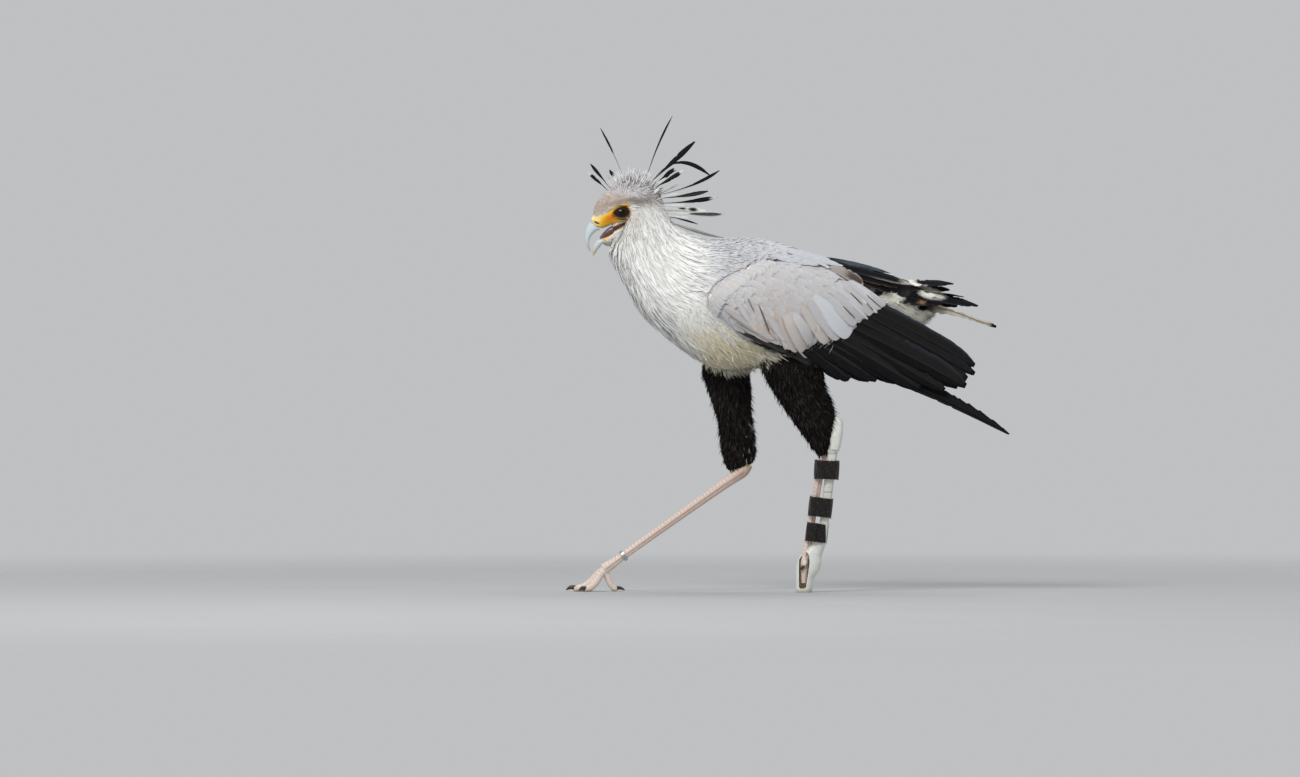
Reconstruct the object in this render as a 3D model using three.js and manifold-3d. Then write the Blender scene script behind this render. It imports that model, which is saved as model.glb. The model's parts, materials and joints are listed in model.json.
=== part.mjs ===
// Secretary bird, life size, walking, with a splint on the left leg and a ring on the right one.
// Millimetres, +Z up. The bill points to -X, the bird's left side to -Y. The origin is the bottom centre of the whole bird.
// Side-view places are written as [u, v]: u counts to the tail and v counts down, in steps of UNIT.
import * as THREE from "three";
import { mergeVertices } from "three/addons/utils/BufferGeometryUtils.js";
import Module from "manifold-3d";

const wasm = await Module();
wasm.setup();

// ---- driving dimensions -------------------------------------------------------------
const UNIT = 1.85; // mm for one side-view step
const FLOOR_V = 592; // side-view row of the floor
const MID_U = 797; // side-view column put at X = 0 before centring
const GAP = 0.35; // clearance between neighbouring solids
const VANE = 1.3; // thickness of a flight feather
const PLUME = 1.1; // thickness of a crest plume
const RIM = 2.4; // wall of the splint
const STRAP = 2.2; // thickness of a splint strap
const FOOT_RIGHT = [604, 570]; // joint of the toes, right foot
const HOCK_RIGHT = [743.5, 471];
const HOCK_LEFT = [825, 441];
const FOOT_LEFT = [805, 559];
const HIP_Y = 47; // sideways place of the legs under the trunk
const SPLINT_Y = -13; // the splinted foot is set near the midline
const RIGHT_FOOT_Y = 38;

const X = (u) => (u - MID_U) * UNIT;
const Z = (v) => (FLOOR_V - v) * UNIT;
const at = ([u, v], y) => new THREE.Vector3(X(u), y, Z(v));
const mix = (a, b, t) => a + (b - a) * t;

// ---- solids -------------------------------------------------------------------------
function solid(geometry) {
  let g = geometry.clone();
  g.deleteAttribute("normal");
  g.deleteAttribute("uv");
  g = mergeVertices(g, 1e-4);
  let tri = new Uint32Array(g.index.array);
  const make = (t) =>
    new wasm.Manifold(
      new wasm.Mesh({ numProp: 3, vertProperties: new Float32Array(g.attributes.position.array), triVerts: t }),
    );
  let m = make(tri);
  if (m.volume() < 0) {
    for (let i = 0; i < tri.length; i += 3) [tri[i + 1], tri[i + 2]] = [tri[i + 2], tri[i + 1]];
    m = make(tri);
  }
  return m;
}

function geometryOf(manifold) {
  const m = manifold.getMesh(), n = m.numProp, v = new Float32Array(m.numVert * 3);
  for (let i = 0; i < m.numVert; i++) v.set(m.vertProperties.subarray(i * n, i * n + 3), i * 3);
  const g = new THREE.BufferGeometry()
    .setAttribute("position", new THREE.BufferAttribute(v, 3))
    .setIndex(new THREE.BufferAttribute(m.triVerts, 1));
  g.computeVertexNormals();
  return g;
}

function mesh(name, manifold, material) {
  // keeps the largest body, so that no crumb is left by a cut
  const bodies = manifold.decompose().sort((a, b) => b.volume() - a.volume());
  const made = new THREE.Mesh(geometryOf(bodies[0]), material);
  made.name = name;
  return made;
}

// Catmull-Rom through any row of numbers
function spline(rows, t) {
  const n = rows.length - 1, i = Math.min(n - 1, Math.floor(t * n)), f = t * n - i;
  const p = (k) => rows[Math.max(0, Math.min(n, k))];
  return rows[0].map((_, c) => {
    const [a, b, d, e] = [p(i - 1)[c], p(i)[c], p(i + 1)[c], p(i + 2)[c]];
    return 0.5 * (2 * b + (d - a) * f + (2 * a - 5 * b + 4 * d - e) * f * f + (3 * b - a - 3 * d + e) * f * f * f);
  });
}

// A closed grid of rings, each a list of points, ended by two fans.
function skinned(rings) {
  const n = rings[0].length, pos = [], index = [];
  rings.forEach((r) => r.forEach((p) => pos.push(p.x, p.y, p.z)));
  const last = rings.length - 1;
  for (let i = 0; i < last; i++)
    for (let j = 0; j < n; j++) {
      const a = i * n + j, b = i * n + ((j + 1) % n), c = a + n, d = b + n;
      index.push(a, b, c, b, d, c);
    }
  for (const [k, flip] of [[0, false], [last, true]]) {
    const c = rings[k].reduce((s, p) => s.add(p), new THREE.Vector3()).divideScalar(n);
    const centre = pos.length / 3;
    pos.push(c.x, c.y, c.z);
    for (let j = 0; j < n; j++) {
      const a = k * n + j, b = k * n + ((j + 1) % n);
      flip ? index.push(centre, a, b) : index.push(centre, b, a);
    }
  }
  return new THREE.BufferGeometry()
    .setAttribute("position", new THREE.BufferAttribute(new Float32Array(pos), 3))
    .setIndex(index);
}

// A body through stations [uTop, vTop, uBottom, vBottom, middle Y, half width, widest place from the top].
// grow swells it evenly, power squares its section, curl brings its upper and lower edges in towards the midline.
function loft(stations, { around = 12, steps = 2, grow = 0, power = 2, curl = [0, 0] } = {}) {
  const count = (stations.length - 1) * steps, rings = [];
  for (let i = 0; i <= count; i++) {
    const [tu, tv, bu, bv, cy, w, e] = spline(stations, i / count);
    const top = at([tu, tv], cy), low = at([bu, bv], cy);
    const up = top.clone().sub(low).normalize();
    top.addScaledVector(up, grow);
    low.addScaledVector(up, -grow);
    const mid = top.clone().lerp(low, e), ring = [];
    for (let j = 0; j < around; j++) {
      const q = (j / around) * 2 * Math.PI, c = Math.cos(q), s = Math.sin(q);
      const flat = (x) => Math.sign(x) * Math.abs(x) ** (2 / power);
      const p = mid.clone();
      const arm = s > 0 ? top.clone().sub(mid) : low.clone().sub(mid);
      p.addScaledVector(arm, Math.abs(flat(s)));
      p.y += flat(c) * (w + grow) + s * s * curl[s > 0 ? 0 : 1] * (w / 20);
      ring.push(p);
    }
    rings.push(ring);
  }
  if (grow) {
    const push = (k, from) => {
      const a = rings[k].reduce((s, p) => s.add(p), new THREE.Vector3());
      const b = rings[from].reduce((s, p) => s.add(p), new THREE.Vector3());
      const d = a.sub(b).normalize().multiplyScalar(grow);
      rings[k] = rings[k].map((p) => p.clone().add(d));
    };
    push(0, 1);
    push(count, count - 1);
  }
  return solid(skinned(rings));
}

// A round limb through [Vector3, radius] rows.
function limb(rows, { around = 12, steps = 3, grow = 0, wide = 1 } = {}) {
  const flat = rows.map(([p, r]) => [p.x, p.y, p.z, r]);
  const count = (rows.length - 1) * steps, pts = [];
  for (let i = 0; i <= count; i++) pts.push(spline(flat, i / count));
  const rings = pts.map((c, i) => {
    const a = pts[Math.max(0, i - 1)], b = pts[Math.min(count, i + 1)];
    const d = new THREE.Vector3(b[0] - a[0], b[1] - a[1], b[2] - a[2]).normalize();
    const side = Math.abs(d.y) > 0.9 ? new THREE.Vector3(1, 0, 0) : new THREE.Vector3(0, 1, 0);
    const n1 = side.clone().addScaledVector(d, -side.dot(d)).normalize();
    const n2 = d.clone().cross(n1);
    const o = new THREE.Vector3(c[0], c[1], c[2]);
    if (grow && i === 0) o.addScaledVector(d, -grow);
    if (grow && i === count) o.addScaledVector(d, grow);
    const r = c[3] + grow, ring = [];
    for (let j = 0; j < around; j++) {
      const q = (j / around) * 2 * Math.PI;
      ring.push(o.clone().addScaledVector(n1, r * wide * Math.cos(q)).addScaledVector(n2, r * Math.sin(q)));
    }
    return ring;
  });
  return solid(skinned(rings));
}

// A flat feather from root to tip through one bend, with its width square to `face`.
const OUTLINE = [[0, 0.3], [0.3, 0.9], [0.78, 0.92], [1, 0.15]];
const LONG_OUTLINE = [[0, 0.45], [0.4, 1], [0.84, 0.85], [1, 0.15]];
function feather(root, bend, tip, width, face, thick, grow = 0, outline = OUTLINE) {
  const curve = new THREE.QuadraticBezierCurve3(root, bend, tip);
  const rings = outline.map(([t, share]) => {
    const o = curve.getPoint(t), d = curve.getTangent(t);
    const n = face.clone().addScaledVector(d, -face.dot(d)).normalize();
    const s = d.clone().cross(n).multiplyScalar((width / 2) * share + grow);
    n.multiplyScalar(thick / 2 + grow);
    if (grow && (t === 0 || t === 1)) o.addScaledVector(d, t ? grow : -grow);
    return [
      o.clone().add(s).add(n), o.clone().add(s).sub(n),
      o.clone().sub(s).sub(n), o.clone().sub(s).add(n),
    ];
  });
  return solid(skinned(rings));
}

function block(x0, x1, y0, y1, z0, z1) {
  const g = new THREE.BoxGeometry(x1 - x0, y1 - y0, z1 - z0);
  g.translate((x0 + x1) / 2, (y0 + y1) / 2, (z0 + z1) / 2);
  return solid(g);
}

// A side-view outline carried across the whole bird, its edge moved out by grow.
function prism(points, half, grow = 0) {
  const pts = points.map(([u, v]) => new THREE.Vector2(X(u), Z(v)));
  if (THREE.ShapeUtils.isClockWise(pts)) pts.reverse();
  const n = pts.length, out = pts.map((p, i) => {
    const a = p.clone().sub(pts[(i + n - 1) % n]).normalize(), b = pts[(i + 1) % n].clone().sub(p).normalize();
    const m = new THREE.Vector2(a.y + b.y, -a.x - b.x).normalize();
    return p.clone().addScaledVector(m, grow / Math.max(0.35, m.x * a.y - m.y * a.x));
  });
  const g = new THREE.ExtrudeGeometry(new THREE.Shape(out), { depth: 2 * half, bevelEnabled: false });
  g.rotateX(Math.PI / 2);
  g.translate(0, half, 0);
  return solid(g);
}

// A thin slab across the side view through two places, used to part the body.
function slab(a, b, thick = GAP) {
  const p = at(a, 0), q = at(b, 0), d = q.clone().sub(p);
  const g = new THREE.BoxGeometry(d.length() * 3, 900, thick);
  g.rotateY(-Math.atan2(d.z, d.x));
  g.translate((p.x + q.x) / 2, 0, (p.z + q.z) / 2);
  return solid(g);
}
const union = (list) => list.reduce((a, b) => a.add(b));
const piecesOf = (m) => m.decompose().sort((a, b) => b.volume() - a.volume());
const centreU = (m) => {
  const b = m.boundingBox();
  return (b.min[0] + b.max[0]) / 2 / UNIT + MID_U;
};

// ---- head, neck and trunk: one body, parted later -------------------------------------
const BODY = [
  // uTop, vTop, uLow, vLow, y, half width, widest
  [591.2, 219.2, 595.2, 226.6, 0, 6.5, 0.6], // front of the cere
  [593.0, 213.5, 602.0, 228.2, 0, 9.8, 0.65],
  [597.5, 200.5, 609.0, 225.6, 0, 16.0, 0.62],
  [608.5, 191.5, 616.0, 223.4, 0, 22.5, 0.56],
  [622.0, 181.0, 624.0, 222.6, 0, 27.0, 0.55], // eyes
  [637.5, 179.0, 630.2, 224.0, 0, 30.0, 0.55],
  [655.0, 188.5, 614.0, 249.0, 0, 33.5, 0.5], // back of the head to the throat
  [666.0, 206.0, 613.5, 262.5, 0, 37.0, 0.5],
  [675.0, 222.5, 621.0, 276.0, 0, 41.5, 0.52],
  [690.5, 232.0, 631.0, 294.5, 0, 49.0, 0.54],
  [710.0, 238.3, 640.5, 312.5, 0, 60.0, 0.55],
  [733.0, 237.4, 659.0, 330.0, 0, 72.0, 0.55],
  [755.0, 237.8, 685.5, 352.0, 0, 80.0, 0.55],
  [778.0, 241.5, 716.0, 367.5, 0, 83.0, 0.54],
  [800.0, 248.8, 751.0, 368.0, 0, 80.0, 0.53],
  [822.0, 255.5, 787.0, 358.0, 0, 72.0, 0.52],
  [843.0, 263.0, 822.0, 346.0, 0, 60.0, 0.5],
  [864.0, 269.5, 855.0, 332.0, 0, 47.0, 0.5],
  [885.0, 275.0, 886.0, 322.0, 0, 34.0, 0.5],
  [903.0, 281.0, 914.0, 324.0, 0, 21.0, 0.5],
  [914.0, 287.0, 929.0, 314.0, 0, 8.0, 0.5], // tip of the undertail feathers
];
const JAW = [
  [640.0, 221.5, 628.0, 250.0, 0, 19.0, 0.5],
  [630.0, 225.2, 617.0, 247.5, 0, 16.5, 0.5],
  [620.0, 229.6, 610.5, 245.5, 0, 13.8, 0.45],
  [611.0, 234.4, 605.0, 244.4, 0, 11.2, 0.45],
  [603.6, 238.9, 601.8, 243.8, 0, 9.0, 0.5],
];
// flesh between the jaws, behind the tongue
const THROAT = [
  [636.0, 221.0, 634.0, 232.0, 0, 12.0, 0.5],
  [627.0, 221.5, 627.0, 228.0, 0, 10.0, 0.5],
  [619.0, 221.5, 620.0, 231.5, 0, 8.6, 0.5],
  [612.5, 223.6, 614.0, 234.5, 0, 7.2, 0.5],
];
const bodyWhole = (grow = 0) =>
  union([loft(BODY, { grow }), loft(JAW, { grow, steps: 1, around: 8 }), loft(THROAT, { grow, steps: 1, around: 6 })]);
const bodyGrown = bodyWhole(GAP);

// ---- bill, tongue and eyes -------------------------------------------------------------
const UPPER_BILL = [
  [589.6, 222.2, 600.2, 229.8, 0, 8.6, 0.66],
  [587.3, 226.6, 596.0, 231.4, 0, 7.9, 0.66],
  [585.7, 231.8, 591.8, 235.2, 0, 6.7, 0.62],
  [585.1, 238.0, 589.5, 239.8, 0, 5.2, 0.55],
  [585.9, 243.6, 589.2, 244.0, 0, 3.7, 0.5],
  [587.7, 248.0, 589.8, 247.9, 0, 2.2, 0.5],
  [590.0, 251.7, 590.5, 251.2, 0, 0.7, 0.5],
];
const LOWER_BILL = [
  [603.2, 238.8, 601.8, 244.4, 0, 8.8, 0.4],
  [598.0, 239.6, 599.6, 247.4, 0, 7.8, 0.4],
  [594.4, 244.0, 597.0, 250.6, 0, 6.4, 0.45],
  [592.6, 249.4, 595.2, 253.2, 0, 4.4, 0.5],
  [592.9, 255.8, 593.6, 255.4, 0, 0.8, 0.5],
];
const TONGUE = [
  [612.0, 226.0, 613.2, 233.6, 0, 6.2, 0.5],
  [607.0, 229.0, 609.0, 236.0, 0, 5.8, 0.5],
  [602.5, 233.4, 603.6, 238.0, 0, 4.0, 0.5],
  [599.6, 237.4, 600.2, 239.0, 0, 1.6, 0.5],
];
const fine = { around: 8, steps: 1 };
const billUpper = loft(UPPER_BILL, fine).subtract(bodyGrown);
const billLower = loft(LOWER_BILL, fine).subtract(bodyGrown);
const tongue = loft(TONGUE, { around: 8, steps: 1 })
  .subtract(bodyGrown)
  .subtract(loft(LOWER_BILL, { ...fine, grow: GAP }))
  .subtract(loft(UPPER_BILL, { ...fine, grow: GAP }));
const EYE = [622.4, 213.0];
const EYE_R = 14, EYE_Y = 15;
const eyeBall = (side, grow = 0) => {
  const g = new THREE.SphereGeometry(EYE_R + grow, 12, 7);
  const c = at(EYE, side * EYE_Y);
  g.translate(c.x, c.y, c.z);
  return solid(g);
};

// ---- wings, the left one; the right one is its mirror image --------------------------------
const WING = [
  [706.8, 294.0, 707.3, 300.0, -62, 7, 0.5],
  [709.8, 284.5, 711.5, 311.0, -68, 14, 0.5],
  [720.0, 276.0, 722.0, 323.0, -76, 18, 0.5],
  [739.0, 268.0, 742.0, 337.0, -83, 20, 0.5],
  [763.0, 260.5, 768.0, 349.0, -86, 20, 0.5],
  [789.0, 258.4, 797.0, 355.0, -85, 19, 0.5],
  [812.0, 262.0, 822.0, 349.5, -81, 17, 0.5],
  [833.0, 270.8, 847.0, 339.0, -75, 14, 0.5],
  [853.0, 285.0, 863.0, 323.0, -68, 10, 0.5],
  [872.0, 301.5, 878.0, 312.0, -61, 6, 0.5],
];
// flight feathers: root, tip, width in steps, Y of root and tip
const SECONDARIES = [
  [[782, 328], [848, 379.5], 25, -84, -72],
  [[796, 330], [884, 380.5], 24, -84, -66],
  [[812, 326], [920, 388.5], 23, -83, -61],
  [[824, 320], [957, 391.5], 22, -81, -56],
  [[838, 311], [967, 380.0], 20, -79, -52],
  [[848, 302], [976, 371.0], 17, -76, -49],
  [[856, 296], [960, 357.0], 14, -70, -47],
];
const PRIMARIES = [
  [[812, 352], [900, 384.0], 14, -72, -50],
  [[816, 353], [940, 400.5], 15, -72, -42],
  [[822, 354], [975, 416.0], 15, -71, -35],
  [[828, 355], [1008.5, 434.3], 16, -70, -28],
];
const STACK = 0.8; // how far each flight feather lies from the one before
function flight(list, rise, grow = 0) {
  return union(
    list.map(([r, t, w, yr, yt], i) => {
      const root = at(r, yr + STACK * i), tip = at(t, yt + STACK * i);
      const bend = root.clone().lerp(tip, 0.55);
      bend.z += rise * root.distanceTo(tip);
      bend.y -= 8;
      return feather(root, bend, tip, w * UNIT, new THREE.Vector3(0.12, -1, 0.06), VANE, grow, LONG_OUTLINE);
    }),
  );
}
const WING_SHAPE = { around: 12, steps: 1, curl: [26, 12] };
const coverts = (grow) => loft(WING, { ...WING_SHAPE, grow });
const secondaries = (grow = 0) => flight(SECONDARIES, 0.02, grow);
const primaries = (grow = 0) => flight(PRIMARIES, 0.065, grow);
// long dark inner feathers on the back: root, bend, tip, width, Y of root and tip
const TERTIALS = [
  [[818, 256.0], [852, 259.0], [894, 274.5], 26, -20, -17],
  [[822, 262.0], [862, 271.0], [910, 284.5], 30, -38, -26],
];
const tertials = union(
  TERTIALS.map(([r, b, t, w, yr, yt]) =>
    feather(at(r, yr), at(b, mix(yr, yt, 0.5)), at(t, yt), w, new THREE.Vector3(0.25, yr / 60, 1), VANE),
  ),
);

// ---- tail ---------------------------------------------------------------------------
// root, tip, width in mm, Y of root and tip, lean of the face to the side
const TAIL_FEATHERS = [
  [[872, 285], [953.5, 284.0], 30, -4, 2, -0.5],
  [[872, 288], [978.0, 306.0], 30, -6, 0, -0.8],
  [[886, 300], [996.0, 327.0], 17, -12, -10, -1.3],
  [[872, 287], [950.0, 290.0], 32, 6, 18, 0.6],
  [[880, 296], [958.0, 306.0], 32, 12, 30, 1.0],
  [[880, 297], [942.0, 304.0], 30, -18, -30, -1.1],
];
const TAIL_BASE = [[903, 255], [905, 345], [1010, 345], [1010, 255]];
const vanes = union(
  TAIL_FEATHERS.map(([r, t, w, yr, yt, lean], i) => {
    const root = at(r, yr), tip = at(t, yt), bend = root.clone().lerp(tip, 0.5);
    bend.z += 5 - i * 0.2;
    return feather(root, bend, tip, w, new THREE.Vector3(0.2, lean, 1), VANE);
  }),
).subtract(bodyGrown.subtract(prism(TAIL_BASE, 200)));

// ---- crest: root, bend, tip, width in steps, Y of root and tip -----------------------------
const CREST = [
  [[614, 193], [602, 178], [590.5, 164.2], 3.2, -5, -13],
  [[612, 195], [602, 184], [588.0, 172.5], 3.2, 6, 14],
  [[620, 186], [614, 177], [609.4, 169.5], 3.4, 9, 20],
  [[626, 184], [614, 152], [600.3, 128.2], 2.3, -3, -6],
  [[644, 186], [655, 147], [672.5, 115.8], 2.2, 3, 8],
  [[646, 187], [662, 172], [694.8, 142.0], 5.2, -8, -24],
  [[648, 188], [673, 144], [709.8, 175.0], 4.0, 8, 26],
  [[648, 190], [662, 180], [674.0, 167.8], 4.2, 14, 30],
  [[644, 193], [664, 184], [683.5, 170.8], 4.2, -14, -26],
  [[652, 196], [692, 189], [719.5, 170.0], 3.2, 12, 34],
  [[652, 199], [680, 198], [708.0, 191.8], 4.4, -16, -38],
  [[655, 203], [686, 203], [717.5, 196.5], 4.4, 18, 44],
  [[658, 208], [682, 208], [706.5, 211.8], 4.6, -20, -40],
  [[660, 210], [692, 215], [724.5, 213.5], 4.8, 20, 36],
  [[662, 215], [676, 217], [689.5, 218.2], 2.6, -20, -34],
  [[664, 218], [692, 222], [723.5, 238.0], 2.8, -12, -20],
];
const CROWN = [
  [588, 160], [600, 197], [612, 197.5], [640, 193], [649, 199], [655, 212], [664, 224], [682, 226.5], [700, 200], [680, 150],
];
const restOfBody = bodyGrown.subtract(prism(CROWN, 200));
const plumes = union(
  CREST.map(([r, b, t, w, yr, yt]) =>
    feather(at(r, yr), at(b, mix(yr, yt, 0.5)), at(t, yt), w * UNIT, new THREE.Vector3(0.1, -1, 0.25), PLUME),
  ),
).subtract(restOfBody);

// ---- legs ---------------------------------------------------------------------------
const THIGH_RIGHT = [
  // front place, rear place, Y, half width
  [703.0, 345.0, 764.0, 338.0, HIP_Y - 3, 28, 0.5],
  [703.0, 372.0, 750.0, 370.0, HIP_Y - 1, 28, 0.5],
  [711.0, 396.0, 751.0, 392.0, HIP_Y, 26, 0.5],
  [718.5, 422.0, 752.0, 418.0, HIP_Y, 24, 0.5],
  [721.5, 446.0, 755.5, 441.0, HIP_Y - 1, 23, 0.5],
  [723.8, 462.0, 755.5, 456.0, HIP_Y - 1, 19, 0.5],
  [726.5, 468.5, 751.0, 462.5, HIP_Y - 1, 14, 0.5],
];
const THIGH_LEFT = [
  [752.0, 340.0, 832.0, 336.0, -40, 28, 0.5],
  [762.0, 370.0, 824.0, 362.0, -40, 28, 0.5],
  [776.0, 395.0, 824.0, 384.0, -39, 26, 0.5],
  [791.0, 418.0, 831.5, 404.0, -38, 25, 0.5],
  [802.5, 434.0, 834.5, 422.0, -36, 22, 0.5],
  [811.5, 446.0, 831.5, 437.0, -34, 16, 0.5],
  [817.0, 453.5, 827.5, 449.5, -33, 8, 0.5],
];
const LEG_SHAPE = { around: 10, steps: 1 };
const hockR = at(HOCK_RIGHT, HIP_Y - 1), footR = at(FOOT_RIGHT, RIGHT_FOOT_Y);
const hockL = at(HOCK_LEFT, -33), footL = at(FOOT_LEFT, SPLINT_Y);
const along = (a, b, rows) => rows.map(([t, r]) => [a.clone().lerp(b, t), r]);
const tarsusRight = (grow = 0) =>
  limb([
    [at([748.8, 464.0], HIP_Y - 1), 9.2],
    ...along(hockR, footR, [[0, 11.4], [0.06, 11], [0.16, 9.4], [0.5, 7.8], [0.85, 7.4], [0.95, 9.2], [1, 10.6]]),
  ], { grow, steps: 1, around: 10 });
const tarsusLeft = (grow = 0) =>
  limb(along(hockL, footL, [[-0.04, 7.4], [0.04, 8.4], [0.12, 7.6], [0.45, 6.9], [0.8, 6.8], [0.93, 7.6], [1, 6.6]]), { grow, steps: 1, around: 10 });
const thighRight = loft(THIGH_RIGHT, LEG_SHAPE)
  .subtract(bodyGrown).subtract(tarsusRight(GAP)).subtract(mirrored(coverts(GAP)));
const thighLeft = loft(THIGH_LEFT, LEG_SHAPE).subtract(bodyGrown).subtract(tarsusLeft(GAP)).subtract(coverts(GAP));
function mirrored(m) {
  return m.mirror([0, 1, 0]);
}

// right foot: turn from straight ahead in degrees, length, radius, claw length
const TOES = { inner: [-38, 46, 6.6, 14], middle: [-2, 56, 7.2, 15], outer: [33, 45, 6.4, 13], hind: [172, 24, 6.0, 15] };
const reach = (foot, turn) => {
  const a = THREE.MathUtils.degToRad(turn);
  return (d, z) => foot.clone().setZ(z).add(new THREE.Vector3(-Math.cos(a) * d, Math.sin(a) * d, 0));
};
function toe([turn, length, r], grow = 0) {
  const p = reach(footR, turn);
  return limb([
    [p(0, footR.z - 2), r * 1.15], [p(0.2 * length, footR.z * 0.76), r * 1.08], [p(0.42 * length, footR.z * 0.44), r * 1.04],
    [p(0.64 * length, footR.z * 0.18 + 2), r * 0.98], [p(0.84 * length, r * 0.78), r * 0.94], [p(length, r * 0.64), r * 0.72],
  ], { around: 8, steps: 1, grow });
}
function claw([turn, length, r, long]) {
  const p = reach(footR, turn), q = (d, z) => p(length + d, z);
  return limb([
    [q(-3, r * 0.95), r * 0.6], [q(long * 0.35, r * 1.05), r * 0.52], [q(long * 0.72, r * 0.7), r * 0.32], [q(long, r * 0.3), 0.8],
  ], { around: 6, steps: 1 });
}
const underFloor = block(-900, 900, -400, 400, -60, 0);
const footRight = union(Object.values(TOES).map((t) => toe(t))).subtract(underFloor).subtract(tarsusRight(GAP));
const footRightGrown = union(Object.values(TOES).map((t) => toe(t, GAP)));

// ---- splint on the left leg: boot, rear strut and cuff in one shell, and three straps -------
const BOOT = [
  // front place, rear place, from the top down
  [812.0, 539.0, 826.5, 541.0, -18, 12, 0.5],
  [809.5, 546.0, 824.0, 549.0, -16, 13.5, 0.5],
  [801.0, 554.5, 821.5, 556.5, -14, 16.5, 0.5],
  [796.8, 563.0, 821.4, 564.0, SPLINT_Y, 18.5, 0.5],
  [796.0, 571.0, 818.4, 572.0, SPLINT_Y, 18.5, 0.5],
  [795.8, 578.0, 814.0, 578.0, SPLINT_Y, 17.5, 0.5],
  [795.8, 585.0, 813.0, 585.0, SPLINT_Y, 17.0, 0.5],
  [796.0, 592.0, 811.5, 592.0, SPLINT_Y, 16.0, 0.5],
];
const STRUT = [
  [827.5, 437.0, 838.6, 440.5, -33, 16.5, 0.5],
  [827.0, 452.0, 836.8, 455.0, -32.5, 13.0, 0.5],
  [824.0, 480.0, 833.6, 482.0, -28.0, 11.5, 0.5],
  [820.6, 512.0, 829.6, 514.0, -22.5, 11.0, 0.5],
  [817.0, 542.0, 826.0, 544.0, -17.5, 11.5, 0.5],
];
const CUFF = [
  [834.2, 416.4, 839.8, 417.8, -36, 9.0, 0.5],
  [831.8, 421.0, 842.6, 423.5, -36, 17.0, 0.5],
  [829.6, 434.0, 842.0, 436.5, -35, 18.5, 0.5],
  [828.6, 446.0, 839.6, 448.5, -34, 17.5, 0.5],
  [828.4, 449.4, 837.4, 451.5, -33.5, 14.0, 0.5],
];
const BOOT_SHAPE = { around: 10, steps: 1, power: 2.4 }, SHELL_SHAPE = { around: 8, steps: 1, power: 3 };
const hollow = (wall) => {
  const rows = BOOT.map((s) => [...s]);
  rows[0] = [810, 533, 825.2, 535, ...rows[0].slice(4)];
  rows[7][1] = rows[7][3] = 589;
  return loft(rows, { ...BOOT_SHAPE, grow: -wall });
};
const bootWindow = block(X(798.6), X(808.2), -90, SPLINT_Y, Z(587.5), Z(551));
const shell = (grow) =>
  union([loft(BOOT, { ...BOOT_SHAPE, grow }), loft(STRUT, { ...SHELL_SHAPE, grow }), loft(CUFF, { ...SHELL_SHAPE, grow })]);
const legGrown = union([tarsusLeft(GAP), loft(THIGH_LEFT, { ...LEG_SHAPE, grow: GAP })]);
const splint = shell(0).subtract(hollow(RIM)).subtract(bootWindow).subtract(underFloor).subtract(legGrown);
const strutGrown = shell(GAP);
function strap([u, v, tilt, deep, wide, tall, yc]) {
  const band = (r, h) => {
    const g = new THREE.CylinderGeometry(1, 1, h, 12, 1);
    g.rotateX(Math.PI / 2);
    g.scale((deep * UNIT) / 2 + r, wide / 2 + r, 1);
    g.rotateY(tilt);
    g.translate(...at([u, v], yc).toArray());
    return solid(g);
  };
  return band(0, tall * UNIT).subtract(band(-STRAP, tall * UNIT + 10)).subtract(strutGrown).subtract(legGrown);
}
const STRAPS = [
  // u, v, lean, front to back and height in steps, width across in mm, Y
  [826.2, 469.4, -0.07, 23.4, 34, 18.5, -29.5],
  [820.3, 507.6, -0.12, 22.6, 32, 18.8, -23.0],
  [816.6, 532.4, -0.14, 20.6, 31, 18.4, -18.8],
];
// left foot: short curled toes inside the boot
const footLeft = union([
  limb([
    [at([806.5, 555], SPLINT_Y), 6.4], [at([804.8, 562], SPLINT_Y - 1), 8.0], [at([804.2, 570], SPLINT_Y - 1), 7.6],
    [at([803.6, 583], SPLINT_Y), 6.2],
  ], { around: 8, steps: 1 }),
  limb([
    [at([805, 559], SPLINT_Y - 5), 5.0], [at([804.8, 562.5], SPLINT_Y - 9), 5.4], [at([803, 565.6], SPLINT_Y - 10.5), 4.2],
  ], { around: 8, steps: 1 }),
]).subtract(tarsusLeft(GAP)).intersect(hollow(RIM + GAP).add(block(X(799.4), X(807.6), -60, SPLINT_Y, Z(586), Z(552))));
const clawLeft = limb([
  [at([802.8, 566.6], SPLINT_Y - 10.8), 3.0], [at([801.4, 568.2], SPLINT_Y - 11), 2.4], [at([800.2, 570], SPLINT_Y - 11), 0.9],
], { around: 6, steps: 1 });

// ring on the right leg
const RING = { place: 0.86, outer: 10.6, inner: 8.9, tall: 7 };
const ringTurn = Math.atan2(footR.x - hockR.x, footR.z - hockR.z);
const disc = (r, h) => {
  const g = new THREE.CylinderGeometry(r, r, h, 12, 1);
  g.rotateX(Math.PI / 2);
  g.rotateY(ringTurn);
  g.translate(...hockR.clone().lerp(footR, RING.place).toArray());
  return solid(g);
};
const legRing = disc(RING.outer, RING.tall).subtract(disc(RING.inner, 20)).subtract(tarsusRight(GAP));

// ---- parting the body -------------------------------------------------------------------
const CUTS = [
  [[662, 201], [608, 252]], // head from neck
  [[712, 232], [640, 322]], // neck from trunk
  [[868, 264], [858, 340]], // trunk from rump
];
const bare = bodyWhole()
  .subtract(eyeBall(-1, GAP)).subtract(eyeBall(1, GAP));
const parted = CUTS.reduce(
  (m, c) => m.subtract(slab(...c)),
  bare.subtract(prism(CROWN, 200, GAP)).subtract(prism(TAIL_BASE, 200, GAP)),
);
const [trunk, ...small] = piecesOf(parted);
const [head, neck, rump] = small.slice(0, 3).sort((a, b) => centreU(a) - centreU(b));
const crown = piecesOf(bare.intersect(prism(CROWN, 200)))[0];
const tail = piecesOf(bare.intersect(prism(TAIL_BASE, 200)))[0].add(vanes);

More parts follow.
